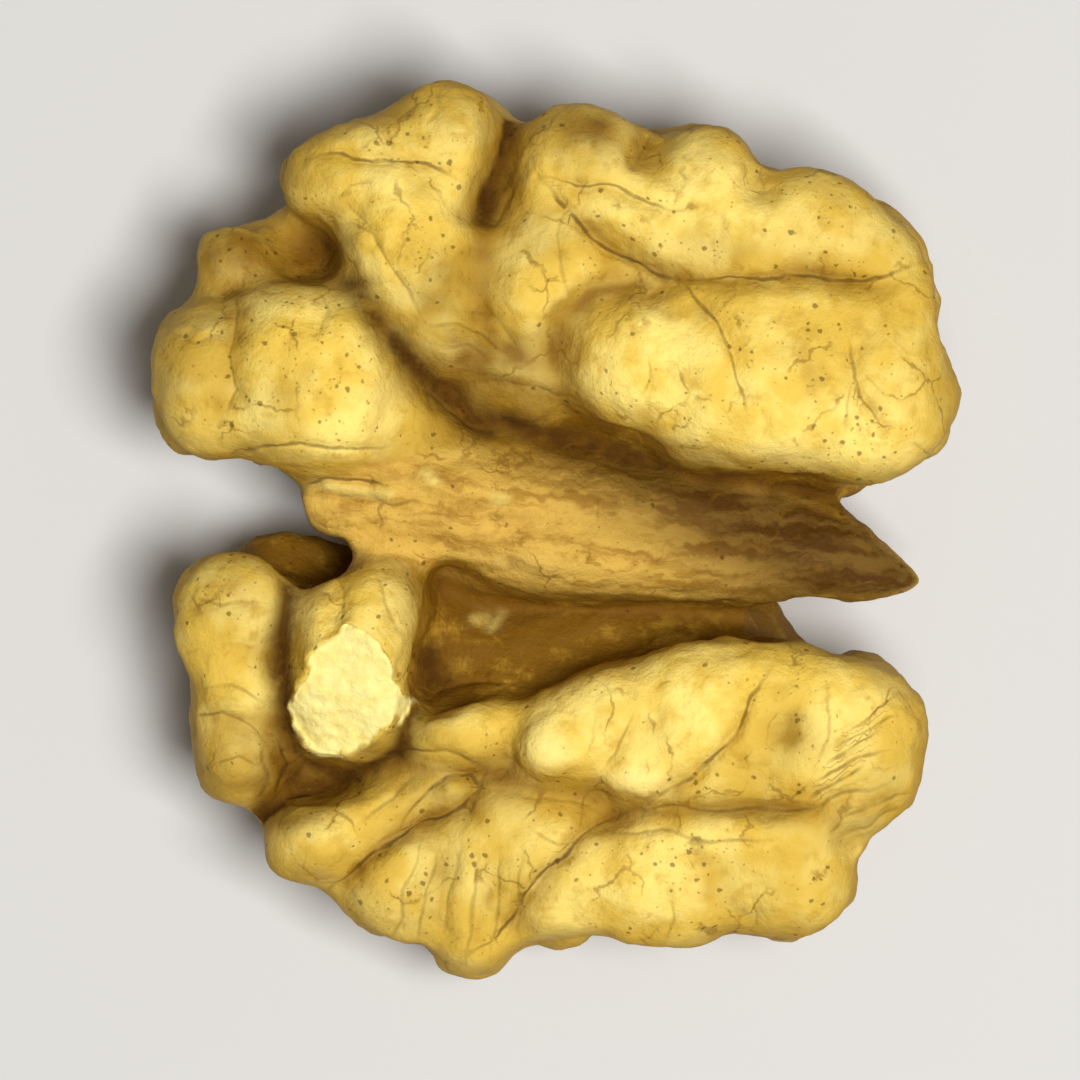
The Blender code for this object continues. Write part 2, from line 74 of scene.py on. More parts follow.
# %% The lobes: x, y and height of the crown, three half sizes, and turn in degrees
LOBE_FULLNESS = 2.6
INNER_LOBES = {
    # the far right-hand lobe: a long bean beside the midline, and bulges along its rim
    "bean_root": ((3.3, 6.45, 13.2), (3.6, 2.75, 3.9), -10),
    "bean_middle": ((7.0, 6.2, 13.7), (4.4, 3.8, 4.4), -4),
    "bean_end": ((10.8, 6.2, 13.4), (4.0, 3.7, 4.4), 8),
    "bean_back": ((8.0, 8.6, 13.2), (5.0, 2.4, 3.4), 2),
    "rim_bulge_1": ((-0.2, 13.2, 12.4), (2.8, 2.9, 4.0), 0),
    "rim_bulge_2": ((4.5, 13.1, 12.7), (2.2, 2.9, 4.2), 8),
    "rim_bulge_3": ((8.6, 12.0, 12.8), (2.7, 2.7, 4.2), -12),
    "rim_bulge_4": ((10.6, 10.9, 12.5), (2.4, 2.6, 4.0), -35),
    "rim_corner": ((11.9, 9.4, 12.5), (1.9, 2.2, 3.8), -30),
    "rim_pillow": ((5.6, 11.6, 12.9), (6.6, 2.5, 3.4), -4),
    "saddle": ((-0.6, 10.8, 12.1), (2.6, 3.2, 3.6), -12),
    "small_oval": ((-1.9, 8.5, 12.0), (1.6, 2.1, 2.8), 5),
    # the far left-hand lobe, which runs in to the bean by a low neck
    "wing_tip": ((-5.7, 13.8, 12.5), (2.2, 2.8, 3.8), -14),
    "wing_back": ((-7.9, 12.6, 12.4), (2.9, 2.3, 3.8), 18),
    "wing_end": ((-9.8, 12.1, 11.6), (1.9, 1.8, 3.2), 8),
    "wing_root": ((-6.5, 10.0, 12.8), (2.7, 3.4, 4.0), 30),
    "wing_flank": ((-5.0, 7.7, 12.1), (2.2, 2.8, 3.4), 40),
    "neck": ((-2.4, 6.0, 11.2), (3.0, 1.3, 3.2), -8),
    "notch_floor": ((-3.3, 12.6, 9.8), (1.8, 3.0, 2.6), 0),
    "notch_foot": ((-3.4, 9.2, 11.3), (1.6, 2.6, 2.8), 0),
    # the rounded knob at the stalk end, with a smaller bulge behind it
    "knob": ((-9.8, 4.5, 13.0), (3.9, 3.9, 4.4), -8),
    "knob_end": ((-12.9, 4.0, 12.2), (2.9, 3.3, 4.0), 12),
    "knob_tail": ((-6.8, 3.7, 11.3), (2.8, 1.9, 3.2), -32),
    "back_bulge": ((-13.0, 8.7, 10.0), (1.7, 1.6, 2.6), 0),
    "back_band": ((-10.4, 9.0, 8.0), (2.8, 1.6, 2.4), -15),
    # the near left-hand lobe: one long fold across, and the stub whose tip is broken off
    "fold_head": ((-11.6, -4.7, 11.6), (2.4, 2.8, 3.8), -8),
    "fold_middle": ((-11.1, -7.4, 11.3), (1.9, 2.4, 3.8), 4),
    "fold_foot": ((-11.0, -9.4, 10.9), (1.9, 2.8, 3.6), 10),
    "stub": ((-6.9, -6.2, 13.0), (2.6, 3.9, 4.8), -4),
    "stub_root": ((-6.0, -3.6, 12.0), (1.9, 1.7, 3.2), -35),
    # the near right-hand lobe: an upper and a lower pillow, parted by a long furrow
    "pillow_end": ((11.0, -7.1, 13.2), (4.3, 3.8, 4.5), -14),
    "pillow_middle": ((7.0, -6.7, 13.1), (4.5, 3.3, 4.4), 12),
    "pillow_root": ((2.8, -7.3, 12.8), (3.5, 2.3, 3.8), 20),
    "pillow_bump_1": ((0.7, -8.5, 13.0), (1.3, 1.15, 2.6), -20),
    "pillow_bump_2": ((4.2, -9.3, 12.8), (1.5, 0.85, 2.4), 5),
    "pillow_neck": ((-2.4, -8.4, 11.5), (3.0, 1.5, 3.0), 24),
    "skirt_end": ((9.9, -12.2, 12.2), (3.2, 2.7, 4.0), 6),
    "skirt_middle": ((5.6, -12.8, 12.2), (3.6, 2.9, 4.2), 4),
    "skirt_back": ((8.4, -10.6, 12.6), (4.6, 1.9, 3.0), 4),
    "skirt_root": ((1.6, -13.0, 11.7), (3.0, 3.0, 3.8), 20),
    "skirt_fan_1": ((-1.3, -14.2, 11.5), (1.9, 3.7, 4.0), 2),
    "skirt_fan_2": ((-4.2, -13.9, 11.4), (2.3, 2.7, 3.8), -14),
    "skirt_toe": ((-7.5, -13.1, 11.3), (2.3, 1.7, 3.4), 6),
    "skirt_shoulder": ((-5.2, -11.3, 10.9), (3.0, 1.2, 3.0), 26),
    "skirt_plain": ((-0.6, -11.0, 11.2), (3.6, 1.8, 3.2), 8),
    # the strip along the midline, from its torn end to the beak
    "strip_torn_end": ((-7.4, -0.3, 10.2), (2.4, 1.3, 1.6), 4),
    "strip_shoulder": ((-4.2, 0.5, 10.9), (3.8, 2.5, 2.6), -8),
    "strip_middle": ((0.4, -0.2, 10.7), (4.8, 2.7, 2.6), -3),
    "strip_neck": ((5.2, -0.1, 9.9), (4.4, 2.5, 2.4), 0),
    "strip_beak": ((8.8, -0.1, 9.2), (3.7, 2.2, 2.0), 0),
    "beak_taper": ((11.6, -0.3, 8.8), (2.3, 1.15, 1.4), -8),
    "beak_tip": ((13.3, -0.6, 8.4), (1.3, 0.55, 0.9), -6),
    "valley": ((2.4, -4.4, 7.6), (6.2, 1.9, 2.6), 8),
    "upper_valley": ((-2.4, 4.2, 9.9), (3.0, 1.3, 2.6), -14),
    "upper_valley_end": ((2.6, 3.6, 8.8), (3.4, 1.2, 2.4), -8),
    "valley_web": ((-2.6, -4.8, 8.0), (2.4, 2.0, 3.0), 0),
}
print(len(INNER_LOBES), "lobes, up to", max(lobe[0][2] for lobe in INNER_LOBES.values()), "mm high")

# %% Masses inside, which join the lobes: centre, half sizes and turn
CORE_MASSES = {
    "far_mass": ((1.2, 8.0, 6.2), (9.6, 5.2, 3.6), -6),
    "near_mass": ((1.4, -8.6, 5.8), (9.4, 5.4, 3.2), 4),
    "left_mass": ((-8.6, 6.6, 5.8), (4.6, 4.2, 2.8), 20),
    "fold_mass": ((-8.4, -7.6, 6.6), (3.8, 4.2, 3.0), 0),
    "bridge": ((0.0, 0.2, 5.8), (6.8, 4.6, 2.6), 0),
}
print(len(CORE_MASSES), "masses that join the lobes")

# %% A pillow, and all the lobes in one mesh
def add_pillow(cage, centre, half_sizes, turn_degrees=0.0, fullness=2.0):
    """A closed pillow: a plain ball at a fullness of 2, and nearer to a box above it."""
    verts = bmesh.ops.create_icosphere(cage, subdivisions=3, radius=1.0)["verts"]
    if fullness != 2.0:
        for vert in verts:
            vert.co /= sum(abs(part) ** fullness for part in vert.co) ** (1.0 / fullness)
    stretch = Matrix.Diagonal((*half_sizes, 1.0))
    turn = Matrix.Rotation(math.radians(turn_degrees), 4, "Z")
    bmesh.ops.transform(cage, matrix=Matrix.Translation(centre) @ turn @ stretch, verts=verts)


cage = bmesh.new()
for (x, y, crown), half_sizes, turn in INNER_LOBES.values():
    add_pillow(cage, (x, y, crown - half_sizes[2]), half_sizes, turn, LOBE_FULLNESS)
for centre, half_sizes, turn in CORE_MASSES.values():
    add_pillow(cage, centre, half_sizes, turn)
print("The cage has", len(cage.verts), "points")

# %% [markdown]
# ## The outer side
#
# The side that lay against the shell is a dome of winding folds. They fan out from the midline to the
# rim. Each could be a curve with a round bevel, but a chain of balls is simpler to swell and to let
# wander, and it fuses as easily. The dome is low near its middle and steep at the rim. Four balls reach
# a little lower than the rest, and the kernel stands on them.

# %% Where the folds start at the rim, and the dome that they lie on
FAR_RIM = [(12.2, 6.0), (10.9, 10.2), (7.4, 12.4), (3.2, 13.6), (-1.0, 13.4), (-5.4, 13.4), (-9.4, 11.6)]
FAR_LEFT_RIM = [(-12.4, 8.3), (-12.9, 4.3)]
NEAR_RIM = [(12.2, -7.8), (10.4, -11.8), (6.4, -13.2), (2.2, -14.2), (-1.8, -14.9), (-5.2, -13.8)]
NEAR_LEFT_RIM = [(-7.2, -12.3), (-10.8, -9.8), (-11.6, -5.2)]
# each fan: its rim, x of its first and last root, y of its roots, and the first fold's seed
FOLD_FANS = [(FAR_RIM, 8.0, -4.4, 3.0, 1), (FAR_LEFT_RIM, -5.0, -6.0, 3.4, 11),
             (NEAR_RIM, 7.0, -3.0, -3.4, 21), (NEAR_LEFT_RIM, -4.2, -6.2, -3.6, 31)]
FOLD_BALLS = 14
FOLD_RADIUS = 2.15
FOLD_WANDER = 2.6
DOME_LENGTH, DOME_WIDTH, DOME_CLIMB, DOME_FLATNESS = 15.7, 17.2, 7.6, 1.5
GROOVE_HALF_WIDTH, GROOVE_RISE = 5.0, 2.4
REST_POINTS = [(-4.8, 5.8, 3.4), (6.0, 6.0, 3.4), (-4.6, -6.2, 3.4), (6.2, -6.6, 3.4)]
REST_REACH = -0.35
REST_PAD_RADIUS = 2.6
print(sum(len(fan[0]) for fan in FOLD_FANS), "folds and", len(REST_POINTS), "low points to rest on")

# %% One fold as a chain of balls, and all of them
def dome_height(x, y):
    """Height of a fold's middle line: low near the midline, which has a groove, and steep at the rim."""
    outward = min(0.97, ((x / DOME_LENGTH) ** 2 + (y / DOME_WIDTH) ** 2) ** DOME_FLATNESS)
    groove = max(0.0, 1.0 - abs(y) / GROOVE_HALF_WIDTH)
    return FOLD_RADIUS + DOME_CLIMB * (1.0 - math.sqrt(1.0 - outward)) + GROOVE_RISE * groove


def add_fold(rim, root, seed):
    """A chain of balls from the rim to the root, which sways to its sides and swells and narrows."""
    direction = (Vector(root) - Vector(rim)).normalized()
    sideways = Vector((-direction.y, direction.x))
    for step in range(FOLD_BALLS):
        share = step / (FOLD_BALLS - 1)
        sway = (FOLD_WANDER * noise.noise(Vector((share * 2.6, seed * 5.3, 0.7)))
                * math.sin(math.pi * share))
        spot = Vector(rim).lerp(Vector(root), share) + sideways * sway
        radius = FOLD_RADIUS * (1.0 + 0.2 * noise.noise(Vector((share * 4.1, 9.2, seed * 3.7))))
        add_pillow(cage, (spot.x, spot.y, dome_height(spot.x, spot.y)), (radius,) * 3)


for rims, root_from, root_to, root_y, first_seed in FOLD_FANS:
    for number, rim in enumerate(rims):
        share = number / max(1, len(rims) - 1)
        add_fold(rim, (root_from + (root_to - root_from) * share, root_y), first_seed + number)
for x, y, radius in REST_POINTS:
    add_pillow(cage, (x, y, REST_REACH + radius), (radius,) * 3)
print("The cage now has", len(cage.verts), "points")

# %% [markdown]
# ## One skin over everything
#
# The pillows still overlap. A Boolean union would leave a sharp seam at each meeting, and metaballs
# would blur the lobes. A voxel remesh joins them in one closed skin of even quads, which also suits the
# carving that follows. It leaves small steps, so the skin is then relaxed: each point moves towards the
# mean of its neighbours.

# %% Fusing what overlaps
def applied(obj):
    """Bakes the object's modifiers into its mesh."""
    graph = bpy.context.evaluated_depsgraph_get()
    mesh = bpy.data.meshes.new_from_object(obj.evaluated_get(graph))
    obj.modifiers.clear()
    obj.data = mesh


def fuse(obj, voxel):
    """One closed skin of quads round everything, with the given size of quad."""
    remesh = obj.modifiers.new("fuse", "REMESH")
    remesh.mode = "VOXEL"
    remesh.voxel_size = voxel
    applied(obj)


FIRST_VOXEL = 0.36
kernel_mesh = bpy.data.meshes.new("walnut_kernel")
cage.to_mesh(kernel_mesh)
cage.free()
kernel = bpy.data.objects.new("walnut_kernel", kernel_mesh)
bpy.context.scene.collection.objects.link(kernel)
fuse(kernel, FIRST_VOXEL)
print("One skin of", len(kernel.data.polygons), "quads")

# %% Relaxing, on all points at once
def points_of(mesh):
    points = np.empty(len(mesh.vertices) * 3)
    mesh.vertices.foreach_get("co", points)
    return points.reshape(-1, 3)


def normals_of(mesh):
    normals = np.empty(len(mesh.vertices) * 3)
    mesh.vertex_normals.foreach_get("vector", normals)
    return normals.reshape(-1, 3)


def put_points(mesh, points):
    mesh.vertices.foreach_set("co", points.ravel())
    mesh.update()


def relaxed(mesh, steps, strength=0.5):
    """The points, each moved towards the mean of its neighbours, as many times as there are steps."""
    ends = np.empty(len(mesh.edges) * 2, np.int64)
    mesh.edges.foreach_get("vertices", ends)
    first, second = ends.reshape(-1, 2).T
    points = points_of(mesh)
    count = np.bincount(ends, minlength=len(points))[:, None]
    for _ in range(steps):
        total = np.zeros_like(points)
        for axis in range(3):
            total[:, axis] += np.bincount(first, points[second, axis], len(points))
            total[:, axis] += np.bincount(second, points[first, axis], len(points))
        points += strength * (total / count - points)
    return points


before = points_of(kernel.data)
put_points(kernel.data, relaxed(kernel.data, 5))
moved = np.linalg.norm(points_of(kernel.data) - before, axis=1)
print("Relaxing moved the points by up to", round(moved.max(), 2), "mm")

# %% [markdown]
# ## Furrows of the outer side
#
# Between the folds run narrow furrows with rounded shoulders. A displacement texture would make them as
# wide as its slope is gentle. So the noise is divided by its own slope along the skin, which gives
# about the distance to the nearest furrow in millimetres, and every furrow gets the same width. The
# noise is stretched, because the folds are longer towards the rim than they are wide.

# %% Low lumps
LUMP_HEIGHT, LUMP_SIZE, LUMP_SEED = 0.28, 3.4, Vector((3.1, 17.2, 9.9))


def noise_at(points, size, seed=(0.0, 0.0, 0.0)):
    """A smooth noise between about -1 and 1, whose lumps are as wide as size says."""
    return np.array([noise.noise(Vector(spot)) for spot in points / np.asarray(size) + seed])


def layered(points, *layers):
    """Noises of several sizes, one on the other: each layer is its height and its size."""
    return sum(height * noise_at(points, size) for height, size in layers)


points, normals = points_of(kernel.data), normals_of(kernel.data)
lumps = LUMP_HEIGHT * noise_at(points, LUMP_SIZE, LUMP_SEED)
put_points(kernel.data, points + normals * lumps[:, None])
print("Lumps of up to", round(lumps.max(), 2), "mm")

# %% How far a spot of the skin lies from the nearest furrow
FOLD_SIZE, FOLD_BEND, FOLD_BEND_SIZE = Vector((3.2, 5.4, 4.0)), 2.4, 6.5
FOLD_BEND_SHIFTS = (Vector((0.0, 0.0, 0.0)), Vector((17.3, 4.1, 9.7)), Vector((6.2, 23.9, 12.8)))
FOLD_SEED = Vector((77.1, 5.3, 21.9))


def fold_level(spot):
    """A winding noise that is zero along the furrows."""
    place = spot / FOLD_BEND_SIZE + FOLD_SEED
    bent = spot + FOLD_BEND * Vector([noise.noise(place + shift) for shift in FOLD_BEND_SHIFTS])
    shrunk = Vector((bent.x / FOLD_SIZE.x, bent.y / FOLD_SIZE.y, bent.z / FOLD_SIZE.z))
    return noise.noise(shrunk + FOLD_SEED)


def distance_to_furrow(spot, normal, step=0.1):
    """The noise divided by its slope along the skin, which is about a distance in millimetres."""
    level = fold_level(spot)
    slope = Vector([(fold_level(spot + step * axis) - level) / step for axis in Matrix.Identity(3)])
    slope -= normal * slope.dot(normal)
    return abs(level) / max(slope.length, 0.02)


spot, straight_out = Vector(points[0]), Vector(normals[0])
print("The first point lies about", round(distance_to_furrow(spot, straight_out), 1), "mm from a furrow")

# %% Pressing the outer furrows, each with a rounded shoulder
FURROW_DEPTH, FURROW_WIDTH = 0.9, 0.7
SHOULDER_DEPTH, SHOULDER_WIDTH = 0.5, 1.7


def smooth_step(low, high, value):
    """Nothing up to low, one from high on, and a soft rise between them."""
    share = np.clip((value - low) / (high - low), 0.0, 1.0)
    return share * share * (3.0 - 2.0 * share)


points, normals = points_of(kernel.data), normals_of(kernel.data)
outside = smooth_step(0.3, -0.1, normals[:, 2])
for x, y, _ in REST_POINTS:
    gap = np.linalg.norm(points - (x, y, REST_REACH), axis=1)
    outside *= smooth_step(0.5 * REST_PAD_RADIUS, REST_PAD_RADIUS, gap)
depth = np.zeros(len(points))
for number in np.flatnonzero(outside > 0.01):
    gap = distance_to_furrow(Vector(points[number]), Vector(normals[number]))
    depth[number] = FURROW_DEPTH * math.exp(-((gap / FURROW_WIDTH) ** 2))
    depth[number] += SHOULDER_DEPTH * math.exp(-((gap / SHOULDER_WIDTH) ** 2))
put_points(kernel.data, points - normals * (depth * outside)[:, None])
print("Outer furrows down to", round(depth.max(), 2), "mm")

# %% A second skin that closes what now overlaps, and a finer third one for the detail
SECOND_VOXEL, FINE_VOXEL = 0.28, 0.245

put_points(kernel.data, relaxed(kernel.data, 1))
fuse(kernel, SECOND_VOXEL)
put_points(kernel.data, relaxed(kernel.data, 4))
fuse(kernel, FINE_VOXEL)
put_points(kernel.data, relaxed(kernel.data, 2))
print("The furrowed skin has", len(kernel.data.polygons), "quads")

# %% [markdown]
# ## Furrows of the inner face, and the break
#
# The inner face is smoother than the outer one, and its furrows lie where the lobes meet. They could be
# brushed in sculpt mode, but a brush can't be read or corrected later. So each furrow here is a stroke:
# a width, a depth and the points it passes through. It is measured from points that a smooth noise has
# shifted, so that it wanders as a grown furrow does, and it is pressed straight down, so that points of
# a steep valley never cross. Low swells and dips in oval patches keep the lobes from looking like plain
# balls. The stub's tip has snapped off, so what stands above a slanted plane is brought down to it. Its
# bare flesh has a ragged edge, which is drawn as a loop.

# %% Furrows: width, depth and path
INNER_FURROWS = {
    "above_strip": (0.6, 0.9, [(-8.8, 8.6), (-7.0, 6.7), (-5.3, 5.1), (-3.6, 3.9), (-1.5, 3.5),
        (1.5, 3.0), (4.5, 2.7), (8.0, 2.4), (11.0, 2.5), (13.0, 2.7)]),
    "below_strip": (0.7, 0.9, [(-5.0, -2.5), (-2.4, -3.3), (0.6, -3.1), (4.0, -2.8), (8.0, -2.6),
        (12.0, -2.6)]),
    "round_stub": (0.5, 0.5, [(-9.4, -2.4), (-9.5, -5.0), (-9.3, -7.6), (-8.6, -9.4), (-6.8, -10.4),
        (-4.6, -9.0), (-4.1, -7.0), (-3.9, -4.4)]),
    "stub_fold": (0.45, 0.4, [(-8.4, -2.0), (-7.7, -3.4), (-7.4, -5.2)]),
    "bulges_and_bean": (0.45, 0.6, [(-1.8, 13.0), (-0.2, 11.4), (1.2, 10.5), (3.2, 9.7), (5.0, 9.7),
        (7.0, 10.1), (9.0, 10.4), (11.0, 10.2), (12.7, 11.2)]),
    "round_bean_root": (0.5, 0.6, [(4.0, 9.4), (2.4, 9.2), (0.8, 8.8), (-0.3, 7.8), (-0.5, 6.4),
        (0.0, 5.0)]),
    "bulges_1_and_2": (0.6, 0.45, [(2.4, 15.8), (2.2, 14.6), (1.6, 13.5)]),
    "bulges_2_and_3": (0.6, 0.45, [(6.9, 15.0), (6.4, 13.8), (6.5, 12.5)]),
    "across_bulge": (0.35, 0.3, [(-1.8, 13.0), (0.2, 12.8), (1.8, 12.5), (3.2, 12.2)]),
    "down_the_bean": (0.4, 0.3, [(4.0, 9.6), (5.4, 8.2), (6.1, 6.8), (6.7, 5.0)]),
    "bean_fold": (0.4, 0.25, [(10.3, 8.2), (10.6, 6.6), (11.8, 4.8)]),
    "wing_fold": (0.4, 0.35, [(-10.4, 12.9), (-8.6, 13.0), (-6.6, 12.8), (-4.8, 12.6)]),
    "wing_side": (0.6, 0.6, [(-3.2, 16.6), (-3.3, 14.6), (-3.5, 12.6), (-3.9, 10.6)]),
    "oval_side": (0.8, 0.4, [(-3.9, 10.6), (-3.9, 8.8), (-3.4, 7.4), (-2.4, 6.4)]),
    "knob_dip": (0.8, 0.35, [(-13.2, 8.2), (-12.4, 6.4), (-12.5, 4.4), (-12.0, 2.2)]),
    "pillow_furrow": (0.45, 0.6, [(-0.6, -16.0), (0.2, -14.6), (1.2, -13.0), (2.4, -11.6), (4.0, -10.4),
        (6.4, -10.1), (9.0, -9.9), (11.0, -9.4), (13.4, -8.5)]),
    "pillow_branch": (0.4, 0.35, [(4.4, -10.2), (6.0, -9.0), (7.2, -7.8), (8.0, -6.2)]),
    "pillow_dimple": (1.0, 0.3, [(9.2, -6.2), (9.8, -7.4)]),
    "pillow_rib": (0.4, 0.2, [(2.9, -9.2), (3.4, -8.0), (4.0, -6.8)]),
    "round_bump": (0.35, 0.35, [(-0.5, -7.4), (-0.9, -8.6), (-0.2, -9.7), (1.2, -9.8), (2.2, -9.2)]),
    "rim_notch": (0.5, 0.5, [(11.4, -10.6), (13.0, -11.2), (14.4, -11.2)]),
    "toe_furrow": (0.5, 0.6, [(-7.4, -15.4), (-6.0, -13.8), (-4.6, -12.4), (-3.2, -11.6), (-1.8, -11.0),
        (-1.3, -9.6)]),
    "toe_gap": (0.5, 0.8, [(-10.8, -13.0), (-9.6, -12.2), (-8.6, -11.4), (-7.2, -10.8), (-6.0, -10.3)]),
    "neck_furrow": (0.5, 0.5, [(-6.4, -9.6), (-4.0, -9.6), (-1.8, -9.6), (0.2, -9.8), (2.6, -9.9)]),
    "fan_fold_1": (0.4, 0.25, [(-2.6, -12.4), (-2.7, -14.4), (-2.4, -16.6)]),
    "fan_fold_2": (0.4, 0.25, [(-0.9, -12.2), (-0.9, -14.2), (-1.2, -16.0)]),
}
print(len(INNER_FURROWS), "furrows of the inner face")

# %% The break, and low swells: height, then middle and half sizes in plan
BREAK_POINT = np.array((-7.0, -7.1, 11.8))
BREAK_FACES = np.array((-0.08, -0.40, 0.91))
BREAK_REACH = 3.5
FLESH_EDGE = [(-9.0, -7.9), (-8.5, -6.5), (-7.9, -5.3), (-7.0, -4.7), (-5.9, -5.1), (-5.3, -5.9),
              (-5.2, -6.8), (-4.4, -7.2), (-4.8, -7.9), (-5.6, -8.5), (-6.6, -9.5), (-7.4, -9.8),
              (-8.2, -9.3), (-8.9, -8.6)]
SWELLS = [
    (0.45, (-1.8, 8.4, 1.2, 1.7)), (0.3, (-7.4, -12.7, 1.9, 1.3)), (0.35, (-2.7, -10.4, 0.8, 0.5)),
    (0.3, (-3.6, -7.9, 1.6, 0.8)), (0.2, (-3.6, 6.4, 1.0, 0.4)), (0.18, (-2.4, 5.6, 1.0, 0.3)),
    (-0.4, (-11.0, -8.7, 2.4, 0.55)), (-0.25, (-11.4, -6.0, 2.2, 0.5)), (0.25, (-11.0, -10.6, 1.3, 1.1)),
    (0.3, (-3.4, 1.3, 2.6, 0.6)), (-0.3, (-1.6, 0.1, 3.4, 0.5)), (0.3, (0.6, -1.0, 3.2, 0.7)),
    (-0.25, (5.4, 0.6, 3.6, 0.5)), (0.25, (-7.2, -0.6, 1.4, 0.4)), (-0.2, (-4.4, -1.2, 1.6, 0.4)),
    (0.4, (1.0, 9.5, 1.8, 0.7)), (0.35, (-0.3, 7.9, 0.6, 1.3)), (0.25, (3.2, 9.2, 1.0, 0.5)),
    (0.25, (1.6, 11.9, 1.1, 0.6)), (-0.25, (-8.4, 11.2, 0.7, 2.0)), (0.2, (9.2, 12.4, 1.4, 0.9)),
]
lean = math.degrees(math.acos(BREAK_FACES[2] / np.linalg.norm(BREAK_FACES)))
print("The broken face leans", round(lean), "degrees, and there are", len(SWELLS), "swells and dips")

# %% Measuring from a stroke
def distance_to_path(points, path):
    """Plan distance to a path, how far along it the nearest place is, and which side a point is on."""
    nearest, along, side = np.full(len(points), np.inf), np.zeros(len(points)), np.ones(len(points))
    for number, (start, end) in enumerate(zip(path[:-1], path[1:])):
        start, run = np.array(start), np.subtract(end, start)
        away = points[:, :2] - start
        share = np.clip((away @ run) / (run @ run), 0.0, 1.0)
        gap = np.linalg.norm(away - share[:, None] * run, axis=1)
        closer = gap < nearest
        nearest[closer] = gap[closer]
        along[closer] = (number + share[closer]) / (len(path) - 1)
        side[closer] = np.where(run[0] * away[closer, 1] - run[1] * away[closer, 0] < 0.0, -1.0, 1.0)
    return nearest, along, side


def wandering(points, sway, size, seed):
    """The points, shifted in plan by a smooth noise, so that a stroke measured from them wanders."""
    shift = [noise_at(points, size, start) for start in ((seed, 0.0, 0.0), (0.0, seed, 0.0))]
    return np.hstack([points[:, :2] + sway * np.stack(shift, 1), points[:, 2:]])


def end_fade(along, length):
    """One along a stroke, fading to nothing at both of its ends."""
    return smooth_step(0.0, length, along) * smooth_step(0.0, length, 1.0 - along)


gap, along, side = distance_to_path(np.array([[1.0, 0.5, 0.0]]), [(0.0, 0.0), (4.0, 0.0)])
print("A point beside a path:", gap[0], "mm off,", along[0], "of the way along, on side", side[0])

# %% Measuring from a loop and from a patch, and telling the top from the rest
def facing_up(mesh):
    """One where the skin looks up and lies as high as the inner face, nothing under it."""
    return smooth_step(0.25, 0.65, normals_of(mesh)[:, 2]) * smooth_step(6.5, 8.0, points_of(mesh)[:, 2])


def inside_loop(points, loop):
    """Distance to a closed loop in plan, positive inside it."""
    gap = distance_to_path(points, loop + loop[:1])[0]
    crossings = np.zeros(len(points), int)
    for (x0, y0), (x1, y1) in zip(loop, loop[1:] + loop[:1]):
        spans = (y0 > points[:, 1]) != (y1 > points[:, 1])
        crossings += spans & (points[:, 0] < x0 + (x1 - x0) * (points[:, 1] - y0) / ((y1 - y0) or 1e-9))
    return np.where(crossings % 2 == 1, gap, -gap)


def in_patch(points, patch):
    """One at the middle of an oval patch in plan, fading to nothing past its half sizes."""
    x, y, half_x, half_y = patch
    return np.exp(-((points[:, 0] - x) / half_x) ** 2 - ((points[:, 1] - y) / half_y) ** 2)


print("Points that look up:", int((facing_up(kernel.data) > 0.5).sum()))

# %% Bringing the stub down to its break
points = points_of(kernel.data)
break_normal = BREAK_FACES / np.linalg.norm(BREAK_FACES)
above = (points - BREAK_POINT) @ break_normal
off_stub = np.linalg.norm(points[:, :2] - BREAK_POINT[:2], axis=1)
cut_off = np.clip(above, 0.0, None) * smooth_step(BREAK_REACH, BREAK_REACH - 0.5, off_stub)
put_points(kernel.data, points - break_normal * cut_off[:, None])
print("The break takes off up to", round(cut_off.max(), 2), "mm")

# %% Pressing the furrows of the inner face, and raising the swells
FURROW_SWAY = (0.3, 2.2, 5.5)
FURROW_SHARE = 0.8
DEPTH_AT_ENDS = 0.15

points = points_of(kernel.data)
depth = np.zeros(len(points))
swayed = wandering(points, *FURROW_SWAY)
for width, deep, path in INNER_FURROWS.values():
    gap, along, _ = distance_to_path(swayed, path)
    fade = DEPTH_AT_ENDS + (1.0 - DEPTH_AT_ENDS) * end_fade(along, length=0.2)
    depth = np.maximum(depth, FURROW_SHARE * deep * fade * np.exp(-((gap / width) ** 2)))
swell = sum(height * in_patch(points, patch) for height, patch in SWELLS)
points[:, 2] += (swell - depth) * facing_up(kernel.data)
put_points(kernel.data, points)
put_points(kernel.data, relaxed(kernel.data, 1))
print("Inner furrows down to", round(depth.max(), 2), "mm, swells up to", round(swell.max(), 2), "mm")

# %% [markdown]
# ## What the skin's colour depends on
#
# The seed coat is pale on the crowns and browner in the hollows, and the hollows, low places and steep
# sides also get painted shade. A material can't see how deep a point lies, so it is measured here, while
# the skin is still even, and stored on the mesh: how far the skin lies inside its own smoothed shape,
# how far it lies below the lobes round it, and how steep it is. The deepest furrows, where two lobes
# were pressed together, and a few spots beside them are marked for the darkest painted shade.

# %% Storing a measure, and the height of the crowns round each point
PLAN_HALF, PLAN_CELL, PLAN_REACH = 20.0, 0.5, 5


def store(name, values):
    """Writes one number for each point on the mesh, where the material can read it."""
    attribute = kernel.data.attributes.get(name) or kernel.data.attributes.new(name, "FLOAT", "POINT")
    attribute.data.foreach_set("value", values.astype(np.float32))


